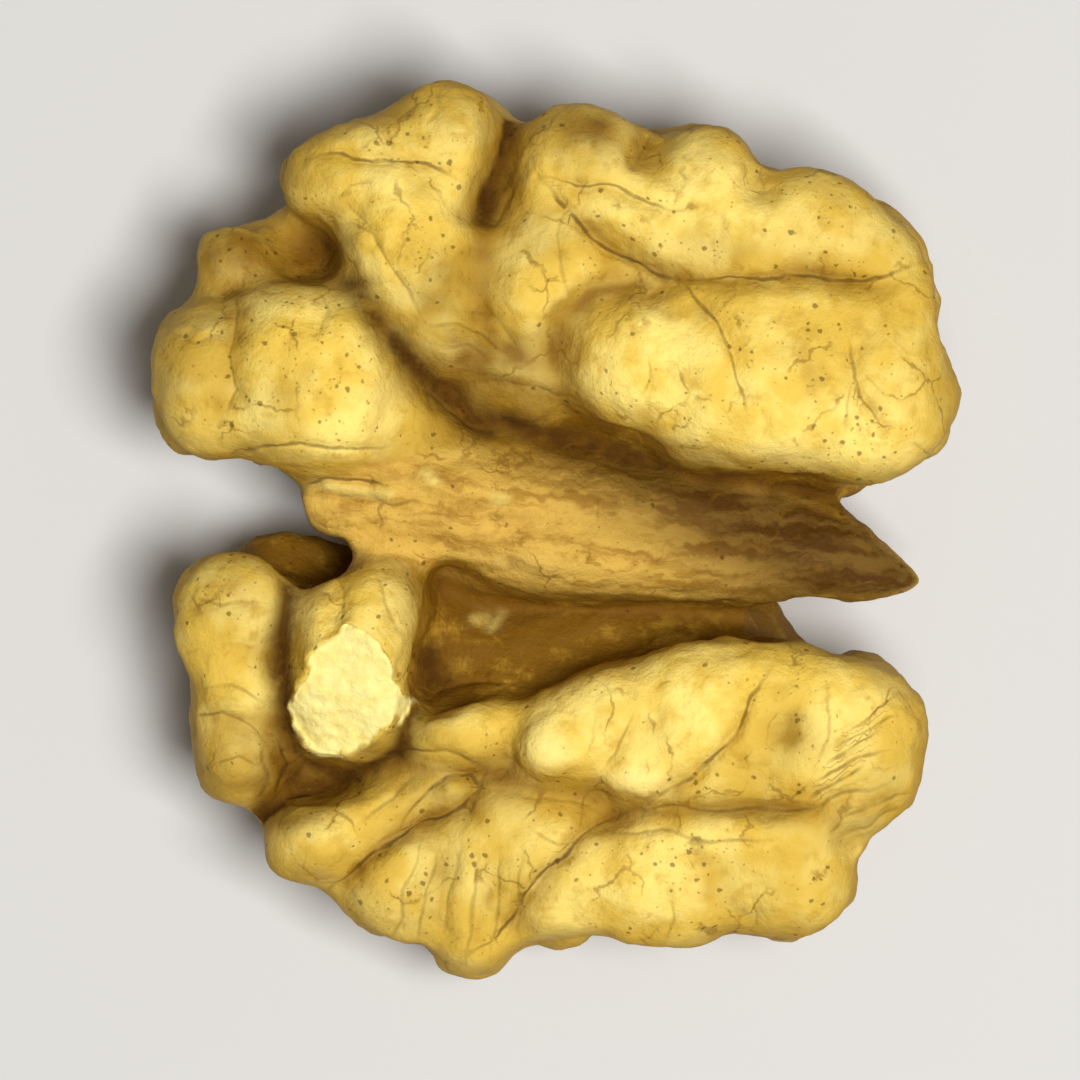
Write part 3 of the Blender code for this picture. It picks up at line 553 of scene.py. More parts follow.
def crowns_near(points):
    """Height of the highest skin within a few cells, at each point's place in plan."""
    place = np.floor((points[:, :2] + PLAN_HALF) / PLAN_CELL).astype(int)
    cells = round(2.0 * PLAN_HALF / PLAN_CELL)
    crowns = np.zeros((cells, cells))
    np.maximum.at(crowns, (place[:, 0], place[:, 1]), points[:, 2])
    shifts = [(across, along) for across in range(3) for along in range(3)]
    for _ in range(PLAN_REACH):
        grown = np.pad(crowns, 1, mode="edge")
        crowns = np.max([grown[x:cells + x, y:cells + y] for x, y in shifts], axis=0)
    for _ in range(3):
        grown = np.pad(crowns, 1, mode="edge")
        crowns = (grown[:-2, 1:-1] + grown[2:, 1:-1] + grown[1:-1, :-2] + grown[1:-1, 2:]) / 4.0
    return crowns[place[:, 0], place[:, 1]]


points, normals = points_of(kernel.data), normals_of(kernel.data)
crowns = crowns_near(points)
print("The skin lies up to", round((crowns - points[:, 2]).max(), 1), "mm below the crowns near it")

# %% How far the skin lies inside its own smoothed shape
for name, steps in (("narrow_mm", 6), ("wide_mm", 50), ("broad_mm", 240)):
    sunk = ((relaxed(kernel.data, steps) - points) * normals).sum(1)
    store(name, sunk)
    print("Hollows for", name, "go down to", round(sunk.max(), 2), "mm")

# %% How low it lies, how steep it is, and how near to the rim
GENERAL_CROWN, CROWN_SLACK = 12.8, 0.6

outward = np.hypot(points[:, 0] / DOME_LENGTH, points[:, 1] / DOME_WIDTH)
inner_face = smooth_step(1.0, 0.8, outward) * smooth_step(-0.3, 0.4, normals[:, 2])
store("below_mm", (crowns - points[:, 2] - CROWN_SLACK) * inner_face)
store("low_mm", (GENERAL_CROWN - points[:, 2]) * inner_face)
store("slope", normals[:, 2])
store("outward", outward)
print("Points of the inner face:", int((inner_face > 0.5).sum()))

# %% Where the lobes were pressed together: the deepest furrows and spots, which get the darkest painted shade
DEEP_SHADE_FURROWS = ("above_strip", "below_strip", "round_stub", "wing_side", "toe_gap")
DEEP_SHADE_SPOTS = [(-3.5, -6.2, 0.7, 0.9), (-8.7, -10.7, 0.6, 0.9), (-9.3, 9.5, 0.9, 0.8),
                (-8.3, 8.2, 0.8, 0.5)]
DEEP_SHADE_HALF_WIDTH = 0.55
DEEP_SHADE_SPOT_SHARE = 0.9

deep_shade = np.zeros(len(points))
swayed = wandering(points, *FURROW_SWAY)
for name in DEEP_SHADE_FURROWS:
    gap, along, _ = distance_to_path(swayed, INNER_FURROWS[name][2])
    beside = end_fade(along, length=0.05) * np.exp(-((gap / DEEP_SHADE_HALF_WIDTH) ** 2))
    deep_shade = np.maximum(deep_shade, beside)
for patch in DEEP_SHADE_SPOTS:
    deep_shade = np.maximum(deep_shade, DEEP_SHADE_SPOT_SHARE * in_patch(points, patch))
store("deep_shade", deep_shade * facing_up(kernel.data))
print("Tucked points:", int((deep_shade > 0.5).sum()))

# %% [markdown]
# ## Creases
#
# Thin creases cross the lobes, and wrinkles fan out at their ends. A bump map would be lost in a plain
# mesh, so they are pressed into the skin. They are finer than its quads, and the quads that they cross
# are first divided in four. The strokes wander a little, as the furrows do, and they later draw a dark
# line at the bottom of each crease, which is partly the coat's own brown and partly painted shade.

# %% Creases: depth and path
CREASES = [
    (0.22, [(-1.8, 13.0), (-1.0, 12.1), (0.0, 11.2), (1.0, 10.6), (2.0, 10.1), (3.0, 9.75),
        (4.0, 9.6)]),
    (0.16, [(4.0, 9.6), (5.2, 9.75), (6.5, 9.95), (7.4, 10.2), (9.0, 10.4), (10.6, 10.3), (11.6, 10.6),
        (12.7, 11.2)]),
    (0.14, [(-1.8, 13.0), (-0.4, 12.8), (1.0, 12.75), (2.2, 12.4), (3.2, 12.3)]),
    (0.14, [(4.0, 9.55), (4.6, 8.8), (5.4, 8.1), (6.0, 7.0), (6.5, 6.0), (6.7, 5.0)]),
    (0.12, [(10.3, 8.0), (10.6, 6.6), (11.0, 5.9), (11.9, 4.9)]),
    (0.08, [(10.5, 6.4), (10.55, 5.4), (10.5, 4.5)]),
    (0.08, [(2.9, 6.6), (3.1, 5.9), (2.9, 5.2)]),
    (0.07, [(7.3, 5.2), (7.8, 4.6), (7.5, 4.0)]),
    (0.16, [(-10.3, 12.8), (-9.2, 13.0), (-7.8, 13.0), (-6.4, 12.9), (-4.9, 12.6)]),
    (0.1, [(-9.7, 10.1), (-8.7, 10.35), (-7.8, 10.1), (-7.0, 9.0), (-6.2, 8.0), (-5.5, 7.0)]),
    (0.08, [(-8.9, 11.4), (-8.2, 10.7), (-7.8, 10.1)]),
    (0.08, [(-6.0, 16.0), (-5.8, 15.2), (-6.1, 14.5)]),
    (0.1, [(-5.2, 6.9), (-4.2, 7.1), (-3.2, 6.8), (-2.4, 6.2)]),
    (0.08, [(-4.8, 6.2), (-3.8, 6.4), (-2.9, 5.9)]),
    (0.08, [(-3.9, 7.6), (-3.0, 7.5), (-2.3, 7.0), (-1.9, 6.4)]),
    (0.1, [(-2.6, 5.1), (-1.2, 5.1), (0.2, 4.9)]),
    (0.1, [(-2.2, 13.6), (-2.8, 12.2), (-3.2, 10.8)]),
    (0.08, [(-0.6, 12.0), (-0.9, 10.8), (-0.6, 9.6), (-0.4, 8.6)]),
    (0.08, [(2.2, 15.4), (2.0, 14.6), (1.6, 13.8)]),
    (0.08, [(6.7, 14.6), (6.4, 13.8), (6.5, 13.0)]),
    (0.12, [(4.0, -10.35), (5.2, -10.2), (7.0, -10.1), (9.0, -9.9), (10.6, -9.6), (12.0, -9.0),
        (13.5, -8.4)]),
    (0.16, [(4.6, -10.1), (6.0, -9.05), (7.0, -8.0), (7.8, -7.0), (8.1, -5.9), (8.6, -4.8)]),
    (0.1, [(2.9, -9.1), (3.4, -8.0), (3.8, -7.0)]),
    (0.06, [(2.2, -8.7), (2.5, -7.8), (2.4, -6.9)]),
    (0.2, [(-1.5, -16.6), (-0.4, -15.7), (0.0, -15.0), (0.5, -14.1), (1.2, -13.0), (2.0, -12.0),
        (3.0, -11.1), (4.0, -10.4)]),
    (0.2, [(-7.2, -15.0), (-6.0, -13.8), (-5.2, -13.0), (-4.4, -12.3), (-3.3, -11.6), (-2.1, -11.1),
        (-1.7, -10.2), (-1.5, -9.6)]),
    (0.16, [(-4.4, -11.9), (-3.9, -11.1), (-3.4, -10.4), (-2.8, -9.9), (-2.1, -9.8), (-1.7, -10.3),
        (-2.0, -11.0)]),
    (0.14, [(-5.9, -9.9), (-4.6, -9.1), (-3.0, -8.9), (-1.6, -9.3)]),
    (0.1, [(-5.8, -11.9), (-4.8, -10.9), (-4.2, -10.1)]),
    (0.08, [(-1.4, -10.0), (-0.7, -9.4), (-0.3, -8.6)]),
    (0.14, [(-9.4, -9.4), (-9.0, -10.2), (-9.3, -11.2)]),
    (0.12, [(-9.9, -9.6), (-9.7, -10.6), (-10.0, -11.6)]),
    (0.1, [(-8.3, -9.9), (-8.5, -10.8), (-8.3, -11.6)]),
    (0.12, [(-12.9, -8.6), (-11.6, -8.4), (-10.4, -8.9), (-9.8, -9.4)]),
    (0.08, [(-0.6, -10.2), (0.6, -10.5), (1.8, -10.4), (3.0, -10.6)]),
    (0.08, [(0.4, -11.6), (1.4, -12.0), (2.2, -11.8)]),
    (0.1, [(3.4, -11.4), (5.4, -11.1), (7.4, -11.3), (9.4, -11.0)]),
    (0.08, [(9.0, -14.7), (9.2, -13.8), (8.9, -13.0)]),
    (0.08, [(5.8, -15.2), (6.2, -14.4), (5.9, -13.6)]),
    (0.08, [(-14.9, 5.8), (-14.0, 5.4), (-13.2, 5.8)]),
    (0.1, [(-13.0, 7.8), (-12.5, 6.6), (-12.7, 5.2), (-12.2, 3.8), (-12.4, 2.6)]),
    (0.08, [(-9.6, 7.9), (-9.1, 7.0), (-9.4, 6.2)]),
    (0.1, [(-13.2, -4.0), (-12.0, -4.4), (-10.6, -4.1)]),
    (0.1, [(-12.6, -7.6), (-11.2, -7.3), (-10.0, -7.8)]),
    (0.1, [(-11.8, -10.4), (-10.8, -10.0), (-9.8, -10.3)]),
    (0.14, [(-12.2, 1.4), (-11.0, 1.8), (-9.6, 2.1), (-8.0, 2.0), (-6.6, 2.2)]),
    (0.2, [(-9.5, 0.3), (-8.6, 0.75), (-7.4, 0.9), (-6.2, 0.8)]),
    (0.16, [(-8.4, 0.1), (-7.2, 0.2), (-6.0, 0.1), (-5.0, 0.25)]),
    (0.16, [(-5.6, 4.6), (-4.4, 3.9), (-3.4, 3.3), (-2.4, 3.1)]),
    (0.14, [(-2.4, -3.9), (-1.0, -3.6), (0.6, -3.3), (2.4, -3.0)]),
    (0.14, [(-4.5, -8.2), (-3.6, -6.8), (-2.2, -6.4), (-0.4, -6.2)]),
    (0.1, [(-7.9, -2.4), (-7.6, -3.4), (-7.3, -4.6)]),
    (0.08, [(-6.4, -2.4), (-5.9, -3.6), (-5.2, -4.8)]),
    (0.08, [(10.9, -5.1), (11.1, -6.2), (11.0, -7.2), (10.7, -8.0)]),
]
print(len(CREASES), "creases, the deepest", max(deep for deep, path in CREASES), "mm")

# %% Wrinkles, which repeat with a small shift
OBLIQUE_WRINKLES = [(0.14, [(10.6 + 0.3 * n, -9.3 + 0.7 * n), (11.6 + 0.28 * n, -8.6 + 0.7 * n),
                            (12.5 + 0.2 * n + 0.5 * (n % 2), -7.9 + 0.66 * n)]) for n in range(5)]
LOW_WRINKLES = [(0.10, [(11.8 + 0.4 * n, -9.9 - 0.55 * n), (13.0 + 0.3 * n, -9.4 - 0.5 * n),
                        (14.2, -8.7 - 0.5 * n)]) for n in range(3)]
FAN_WRINKLES = [(0.09, [(-3.6 + 0.75 * n, -12.4 - 0.3 * (n % 2)), (-4.0 + 0.86 * n, -14.4),
                        (-4.3 + 0.94 * n, -16.9 + 0.5 * (n % 3))]) for n in range(6)]
STROKES = CREASES + OBLIQUE_WRINKLES + LOW_WRINKLES + FAN_WRINKLES
print(len(STROKES), "creases and wrinkles")

# %% Depth and nearness of the creases
CREASE_WIDTH = 0.18
CREASE_SWAY = (0.22, 1.3, 8.5)


def stroke_measures(points):
    """Depth of the creases; side, line strength and plain distance of the nearest one."""
    points = wandering(points, *CREASE_SWAY)
    depth, nearest, side_gap, weight = (np.zeros(len(points)) for _ in range(4))
    nearest += np.inf
    for deep, path in STROKES:
        gap, along, side = distance_to_path(points, path)
        fade = end_fade(along, length=0.2)
        depth = np.maximum(depth, deep * fade * np.exp(-((gap / CREASE_WIDTH) ** 2)))
        closer = gap < nearest
        nearest[closer] = gap[closer]
        side_gap[closer] = (gap * side)[closer]
        strength = smooth_step(0.0, 0.2, deep) * (0.3 + 0.7 * fade) * smooth_step(0.5, 0.15, gap)
        weight[closer] = strength[closer]
    return depth, np.clip(side_gap, -1.0, 1.0), weight, nearest


points = points_of(kernel.data)
gap_to_crease = stroke_measures(points)[3]
print("Points within half a millimetre of a crease:", int((gap_to_crease < 0.5).sum()))

# %% Dividing the quads under the creases and the break
REFINE_REACH, FLESH_MARGIN = 0.42, 0.4

up = facing_up(kernel.data)
near = (gap_to_crease < REFINE_REACH) | (inside_loop(points, FLESH_EDGE) > -FLESH_MARGIN)
body = bmesh.new()
body.from_mesh(kernel.data)
body.verts.ensure_lookup_table()
chosen = near & (up > 0.05)
edges = [edge for edge in body.edges if chosen[edge.verts[0].index] and chosen[edge.verts[1].index]]
bmesh.ops.subdivide_edges(body, edges=edges, cuts=1, use_grid_fill=True, use_single_edge=True)
bmesh.ops.triangulate(body, faces=[face for face in body.faces if len(face.verts) > 4])
body.to_mesh(kernel.data)
body.free()
print(len(edges), "edges divided, and now", len(kernel.data.polygons), "faces")

# %% [markdown]
# ## The broken face
#
# Where the stub snapped off, the seed coat is gone and the flesh shows. It breaks like hard cheese,
# into small crumbs, and the torn coat stands up a little round it. A bump in the material would look
# flat from the side. So the divided quads inside the loop are moved along the break's own direction, by
# three sizes of noise.

# %% Crumbs, and the torn coat's edge
CRUMB_LAYERS, CRUMB_DROP = ((0.18, 1.3), (0.08, 0.5), (0.05, 0.25)), 0.1
TORN_EDGE = 0.12

points = points_of(kernel.data)
up = facing_up(kernel.data)
flesh_gap = inside_loop(points, FLESH_EDGE) + layered(points, (0.3, 0.8), (0.16, 0.35))
on_stub = smooth_step(9.5, 10.0, points[:, 2])
bare_flesh = smooth_step(-0.04, 0.06, flesh_gap) * on_stub
crumbs = layered(points, *CRUMB_LAYERS) - CRUMB_DROP
torn_edge = TORN_EDGE * np.exp(-((flesh_gap + TORN_EDGE) / TORN_EDGE) ** 2) * on_stub
roughness = crumbs * bare_flesh + torn_edge * (1.0 - bare_flesh)
put_points(kernel.data, points + break_normal * roughness[:, None])
print("Crumbs from", round(roughness.min(), 2), "to", round(roughness.max(), 2), "mm")

# %% [markdown]
# ## The strip
#
# The strip along the midline is what is left of the papery wall between the lobes, grown fast to the
# kernel. It has lengthwise fibres, which show as low ridges. They could be curves laid side by side,
# but fibres that are grown fast have no gaps. So they are a noise that is stretched along X and reaches
# only as far as the strip's own width, which narrows towards the beak.

# %% The strip's width and its fibres
STRIP_PATH = [(-9.7, -0.7), (-7.0, -0.2), (-3.0, 0.0), (2.0, -0.1), (8.0, -0.1), (12.0, -0.3),
              (14.6, -0.6)]
STRIP_HALF_WIDTHS = [0.5, 1.7, 2.6, 2.6, 2.3, 1.5, 0.5]
FIBRE_HEIGHT = 0.13
FIBRE_SWAY = (0.7, 3.4, 2.5)
COARSE_FIBRES, FINE_FIBRES = (5.0, 0.9, 2.0), (2.6, 0.4, 2.0)

points = points_of(kernel.data)
gap, along, _ = distance_to_path(points, STRIP_PATH)
half_width = np.interp(along, np.linspace(0, 1, len(STRIP_HALF_WIDTHS)), STRIP_HALF_WIDTHS)
on_strip = smooth_step(1.15, 0.8, gap / half_width) * smooth_step(6.6, 7.6, points[:, 2])
swayed = wandering(points, *FIBRE_SWAY)
fibres = noise_at(swayed, COARSE_FIBRES) + 0.6 * noise_at(swayed, FINE_FIBRES, (5.0, 1.0, 7.0))
print("Fibres of up to", round(FIBRE_HEIGHT * (fibres * on_strip).max(), 2), "mm")

# %% A loose flake of the coat, ends of torn fibres, and two painted glints
FLAKE_EDGE = [(1.1, -14.9), (1.9, -14.7), (2.8, -15.3), (2.6, -15.9), (1.5, -16.1), (0.9, -15.6)]
FLAKE_HEIGHT, TORN_HEIGHT, TORN_WIDTH = 0.3, 0.12, 0.2
# the third and fourth are painted glints on the strip, raised and coloured like the torn fibres
TORN_FIBRES_AND_GLINTS = [[(-2.5, -3.9), (-2.0, -3.8)], [(-1.9, -4.1), (-1.5, -3.6)], [(-4.9, 1.4), (-4.5, 1.1)],
               [(-2.2, 0.7), (-1.8, 0.7)], [(-9.6, -0.6), (-8.8, -1.2), (-7.9, -1.7)],
               [(-8.6, 0.5), (-7.4, 0.45), (-6.2, 0.4)]]

flake = smooth_step(-0.08, 0.08, inside_loop(points, FLAKE_EDGE)) * up
torn = np.zeros(len(points))
for path in TORN_FIBRES_AND_GLINTS:
    gap, along, _ = distance_to_path(points, path)
    torn = np.maximum(torn, np.exp(-((gap / TORN_WIDTH) ** 2)))
print(len(TORN_FIBRES_AND_GLINTS), "torn fibres")

# %% Pressing the creases, and the skin's own unevenness
UNEVEN_LAYERS = ((0.11, 1.6), (0.09, 0.8), (0.045, 0.42))

crease_depth, line_side, line_weight, _ = stroke_measures(points)
relief = FIBRE_HEIGHT * fibres * on_strip - crease_depth + FLAKE_HEIGHT * flake + TORN_HEIGHT * torn
points[:, 2] += up * relief
put_points(kernel.data, points)
normals = normals_of(kernel.data)
uneven = layered(points, *UNEVEN_LAYERS)
put_points(kernel.data, points + normals * (uneven * (1.0 - bare_flesh))[:, None])
kernel_points = points_of(kernel.data)
print("Creases down to", round((crease_depth * up).max(), 2), "mm")

# %% [markdown]
# ## Where the coat is paler or speckled, and where light and shade are painted
#
# A seed coat dries unevenly: rubbed bumps stay pale, and some areas are freckled. Brown patches are
# painted shade on sides and hollows, and a few pale ones are painted light on edges. A noise alone would
# put these anywhere, and a painted picture would fit this one mesh only. So each area is an oval patch
# in plan, which fades out at its edge, and a stain noise breaks it up.

# %% Patches: how strong, then middle and half sizes in plan
PALE_PATCHES = [
    (1.0, (0.7, -8.5, 0.9, 0.9)), (1.0, (4.2, -9.3, 1.2, 0.6)), (1.0, (14.3, -0.6, 0.3, 0.4)),
    # the last three are painted light on the bean's lower edge, the stub's left side and the strip's
    # lower side
    (0.5, (8.0, 3.4, 4.0, 0.5)), (0.35, (-8.9, -4.2, 0.5, 1.4)), (0.3, (-1.0, -1.7, 2.6, 0.5)),
]
# painted shade: brown patches on sides, hollows and edges that lie in shade
SHADE_PATCHES = [
    (0.8, (-2.8, 5.9, 2.6, 1.6)), (0.5, (-5.2, 8.3, 1.8, 1.8)), (0.35, (-1.5, 11.0, 1.5, 1.8)),
    (0.75, (-0.2, 14.8, 1.8, 1.3)), (0.45, (-11.2, 12.3, 1.1, 1.6)), (0.4, (-14.8, 4.6, 1.3, 2.4)),
    (0.4, (-11.0, 1.4, 2.8, 0.9)), (0.9, (-13.0, 9.3, 1.9, 1.6)), (0.8, (-3.0, -5.0, 1.6, 1.8)),
    (0.3, (-5.0, -3.4, 0.9, 1.6)), (0.7, (-9.0, -11.9, 1.2, 0.6)), (0.35, (-11.7, -4.0, 1.8, 2.2)),
    (0.3, (-12.6, 5.2, 0.7, 2.4)), (0.45, (-11.0, -10.4, 1.9, 1.8)), (0.8, (-9.0, -10.6, 1.0, 1.5)),
    (0.3, (9.6, -7.0, 1.4, 1.2)), (0.25, (-2.6, 6.2, 1.2, 0.7)), (0.14, (-6.9, 4.3, 0.9, 1.1)),
    (0.12, (-4.9, 14.4, 1.2, 1.4)), (0.12, (2.6, -6.9, 1.0, 0.7)), (0.15, (0.8, -13.6, 1.6, 2.2)),
    (0.2, (-3.0, -14.4, 3.4, 2.4)), (0.4, (-3.0, -9.6, 3.2, 1.4)), (0.25, (5.0, 11.0, 2.8, 0.8)),
    (0.9, (-3.3, 14.2, 0.6, 2.2)), (0.5, (4.0, 2.6, 6.0, 0.7)), (0.4, (7.0, -10.0, 5.0, 0.5)),
    (0.55, (-3.6, 10.4, 0.5, 1.8)), (0.3, (13.0, -9.4, 1.6, 1.2)), (0.3, (-7.4, -14.2, 1.6, 0.8)),
    (0.35, (-10.6, 3.4, 0.9, 1.6)),
]
SPECKLED_PATCHES = [
    (3.5, 11.2, 2.0, 1.2), (-7.0, 13.8, 2.6, 1.6), (-12.0, 6.2, 2.6, 2.4), (8.5, 7.6, 2.4, 1.6),
    (6.4, -12.0, 2.8, 1.4), (-13.0, 9.3, 1.6, 1.2), (-5.6, 9.6, 1.4, 1.6), (8.6, 13.0, 2.0, 1.2),
    (-11.5, -3.5, 1.8, 1.6), (-9.4, 4.4, 2.6, 2.6), (5.4, 4.2, 1.4, 1.0), (5.6, 15.0, 1.0, 0.8),
    (9.0, -5.4, 2.0, 1.0),
]
print(len(PALE_PATCHES), "pale,", len(SHADE_PATCHES), "tan and", len(SPECKLED_PATCHES), "speckled ones")

# %% Storing the patches and everything else that the colours follow
stains = noise_at(kernel_points, 1.3, (4.0, 9.0, 2.0))
stains += 0.5 * noise_at(kernel_points, 0.6, (1.0, 3.0, 8.0))
# pale bumps, and painted light in the last three pale patches
pale = sum(share * in_patch(kernel_points, patch) for share, patch in PALE_PATCHES)
# painted shade in patches, broken up by the stains
patch_shade = sum(share * in_patch(kernel_points, patch) for share, patch in SHADE_PATCHES)
patch_shade *= 1.0 + 0.5 * stains
speckled = sum(in_patch(kernel_points, patch) for patch in SPECKLED_PATCHES)
# darker towards the beak and the strip's upper side: partly the coat's brown and partly painted shadow
beak = smooth_step(-1.0, 9.0, kernel_points[:, 0] + 1.8 * kernel_points[:, 1])
for name, values in {
    "line_side": line_side, "line_weight": line_weight * up, "flesh": bare_flesh, "torn": torn * up,
    "pale": pale * up, "patch_shade": np.clip(patch_shade, 0.0, 0.9) * up, "stain": stains,
    "speckled": np.clip(speckled, 0.0, 1.0) * up, "strip": on_strip * up, "beak": beak * on_strip,
}.items():
    store(name, values)
print("The mesh carries", len([a for a in kernel.data.attributes if a.data_type == "FLOAT"]), "measures")

# %% [markdown]
# ## True size, and flats to stand on
#
# The kernel has been shaped in millimetres. Now it gets its size in metres, from the measured frame, so
# that it fills the same box as the solid. A kernel that stands on sharp points would rock, so its four
# lowest folds are planed off flat. A plane through the mesh does that, and the openings it leaves are
# filled.

# %% Fitting to the measured frame
REST_FLAT_DEPTH = 0.35

low, high = kernel_points.min(0), kernel_points.max(0)
size = np.array(frame_high - frame_low) * 1000.0
size[2] += REST_FLAT_DEPTH
lowest = np.array(frame_low) * 1000.0 - (0.0, 0.0, REST_FLAT_DEPTH)
put_points(kernel.data, ((kernel_points - low) / (high - low) * size + lowest) * 0.001)
print("Stretched by", [round(float(share), 3) for share in size / (high - low)])

# %% Cutting the small flats that it rests on
body = bmesh.new()
body.from_mesh(kernel.data)
everything = body.verts[:] + body.edges[:] + body.faces[:]
cut = bmesh.ops.bisect_plane(body, geom=everything, dist=1e-7, plane_co=(0, 0, 0),
                             plane_no=(0, 0, -1), clear_outer=True)
rims = [item for item in cut["geom_cut"] if isinstance(item, bmesh.types.BMEdge)]
flats = bmesh.ops.holes_fill(body, edges=rims, sides=0)["faces"]
bmesh.ops.recalc_face_normals(body, faces=body.faces[:])
area = sum(face.calc_area() for face in flats) * 1e6
print("Rests on", len(flats), "small flats, together", round(area, 1), "square millimetres")
body.to_mesh(kernel.data)
body.free()
kernel.data.shade_smooth()
kernel.data.name = "walnut_kernel"

# %% [markdown]
# ## The skin
#
# A walnut's seed coat is thin, matt and slightly waxy, golden on the crowns, with tiny dark specks,
# brown lines in its creases and brown furrows. The browns of its furrows, creases, low places and rim
# are partly painted shade, and a few pale patches and two glints are painted light. A photo texture
# would only fit one kernel. These colours are built from noise in the kernel's own coordinates and from
# the stored measures, so they follow the shape from every side.

# %% A new material, and a short way to add a node
skin = bpy.data.materials.new("kernel_skin")
skin.use_nodes = True
tree = skin.node_tree
shader = tree.nodes["Principled BSDF"]


def plug(value, socket):
    """Links the value to the socket if it comes from a node, and else sets it."""
    if isinstance(value, bpy.types.NodeSocket):
        tree.links.new(value, socket)
    else:
        socket.default_value = value


def node(kind, inputs=None, **settings):
    """A new node with its settings, and with its inputs linked or set."""
    made = tree.nodes.new(kind)
    for name, value in settings.items():
        setattr(made, name, value)
    for name, value in (inputs or {}).items():
        plug(value, made.inputs[name])
    return made


print("The new material starts with", len(tree.nodes), "nodes")

# %% Measures, soft ramps, sums and blends
def measure(name):
    return node("ShaderNodeAttribute", attribute_name=name).outputs["Fac"]


def ramp(value, low, high, to_low=0.0, to_high=1.0):
    """A soft rise of the value, or a fall where low is above high."""
    ends = {"Value": value, "From Min": low, "From Max": high, "To Min": to_low, "To Max": to_high}
    return node("ShaderNodeMapRange", ends, interpolation_type="SMOOTHSTEP").outputs["Result"]


def maths(operation, first, second=0.0, clamp=True):
    return node("ShaderNodeMath", {0: first, 1: second}, operation=operation, use_clamp=clamp).outputs[0]


def blend(first, second, share):
    made = node("ShaderNodeMix", data_type="RGBA")
    for socket, value in ((0, share), (6, first), (7, second)):
        plug(value, made.inputs[socket])
    return made.outputs[2]


def vector(operation, *values):
    return node("ShaderNodeVectorMath", dict(enumerate(values)), operation=operation).outputs[0]


in_mm = vector("MULTIPLY", node("ShaderNodeTexCoord").outputs["Object"], (1000.0, 1000.0, 1000.0))
print("Coordinates in millimetres take", len(tree.nodes) - 2, "nodes")

# %% Noise, and coordinates that it bends or shakes, so that no pattern has straight edges
def grain(scale, detail=3.0, roughness=0.55, at=None):
    inputs = {"Scale": scale, "Detail": detail, "Roughness": roughness, "Vector": at or in_mm}
    return node("ShaderNodeTexNoise", inputs).outputs["Fac"]


def pushed(scale, detail, reach):
    """Coordinates in millimetres, pushed about by a noise."""
    push = node("ShaderNodeTexNoise", {"Scale": scale, "Detail": detail, "Vector": in_mm})
    return vector("MULTIPLY_ADD", push.outputs["Color"], (reach, reach, reach), in_mm)


bent = pushed(1.4, 3.0, 0.9)
shaken = pushed(3.5, 2.0, 0.2)
print("Bent and shaken coordinates bring it to", len(tree.nodes), "nodes")

# %% Specks and veins
def specks(scale, size, least, most, seed):
    """Dark flecks of uneven size and outline, denser in patches and where a broad noise is high."""
    place = vector("ADD", shaken, (seed, 2.0 * seed, 3.0 * seed))
    cells = node("ShaderNodeTexVoronoi", {"Scale": scale, "Vector": place})
    chance = node("ShaderNodeSeparateColor", {"Color": cells.outputs["Color"]})
    density = maths("MAXIMUM", measure("speckled"), ramp(grain(0.3, 2.0), 0.48, 0.66, 0.0, 0.7))
    there = maths("GREATER_THAN", ramp(density, 0.0, 1.0, least, most), chance.outputs[0])
    radius = ramp(chance.outputs[1], 0.0, 1.0, 0.45 * size * scale, size * scale)
    inside = ramp(maths("SUBTRACT", radius, cells.outputs["Distance"], False), 0.0, 0.06 * scale)
    return maths("MULTIPLY", inside, there)


def veins(scale, width):
    """Thin broken lines, like the edges between the cells of a net."""
    net = node("ShaderNodeTexVoronoi", {"Scale": scale, "Vector": bent}, feature="DISTANCE_TO_EDGE")
    thin = ramp(net.outputs["Distance"], width * scale, 0.2 * width * scale)
    return maths("MULTIPLY", thin, ramp(grain(0.5, 2.0), 0.48, 0.62))


large_specks = specks(2.2, 0.14, 0.08, 0.9, 3.1)
small_specks = specks(4.0, 0.08, 0.2, 1.0, 7.7)
fine_veins = veins(0.33, 0.09)
print("Specks and veins bring it to", len(tree.nodes), "nodes")

# %% The colours, in steps of 255, as a painter would mix them
def linear(*steps):
    """The renderer's own colour for three steps of 255."""
    parts = [step / 255.0 for step in steps]
    return [part / 12.92 if part <= 0.04045 else ((part + 0.055) / 1.055) ** 2.4 for part in parts] + [1]


CROWN, GOLD, OCHRE = linear(252, 225, 122), linear(235, 197, 82), linear(201, 158, 52)
# the tan and the browns also serve as painted shade, and the beak's dark brown partly as painted shadow
TAN_AND_SHADE, BROWN, DARK_BROWN = linear(172, 130, 32), linear(120, 80, 10), linear(74, 44, 6)
FLESH, FLESH_SHADE, CREAM = linear(247, 231, 148), linear(238, 214, 118), linear(250, 228, 138)
STRIP, STRIP_BROWN, BEAK_BROWN_AND_SHADE = linear(216, 174, 78), linear(170, 126, 46), linear(80, 49, 6)
print("The crowns reflect", [round(100 * part) for part in CROWN[:3]], "% of red, green and blue light")

# %% Gold on the crowns, tan stains, and painted shade in tan on steep sides, in broad hollows and at the rim
colour = blend(CROWN, GOLD, ramp(grain(0.42, 3.0), 0.38, 0.62))
colour = blend(colour, OCHRE, ramp(grain(1.0, 5.0, 0.62), 0.50, 0.72, 0.0, 0.6))
# painted shade: tan in broad hollows and on steep sides; the stain tan below is the coat's own
colour = blend(colour, TAN_AND_SHADE, ramp(measure("broad_mm"), -0.5, 0.4, 0.0, 0.55))
colour = blend(colour, TAN_AND_SHADE, ramp(measure("slope"), 0.85, 0.2, 0.0, 0.7))
off_crowns = ramp(measure("wide_mm"), -0.18, 0.02)
colour = blend(colour, TAN_AND_SHADE, maths("MULTIPLY", ramp(measure("stain"), 0.0, 0.8, 0.0, 0.6), off_crowns))
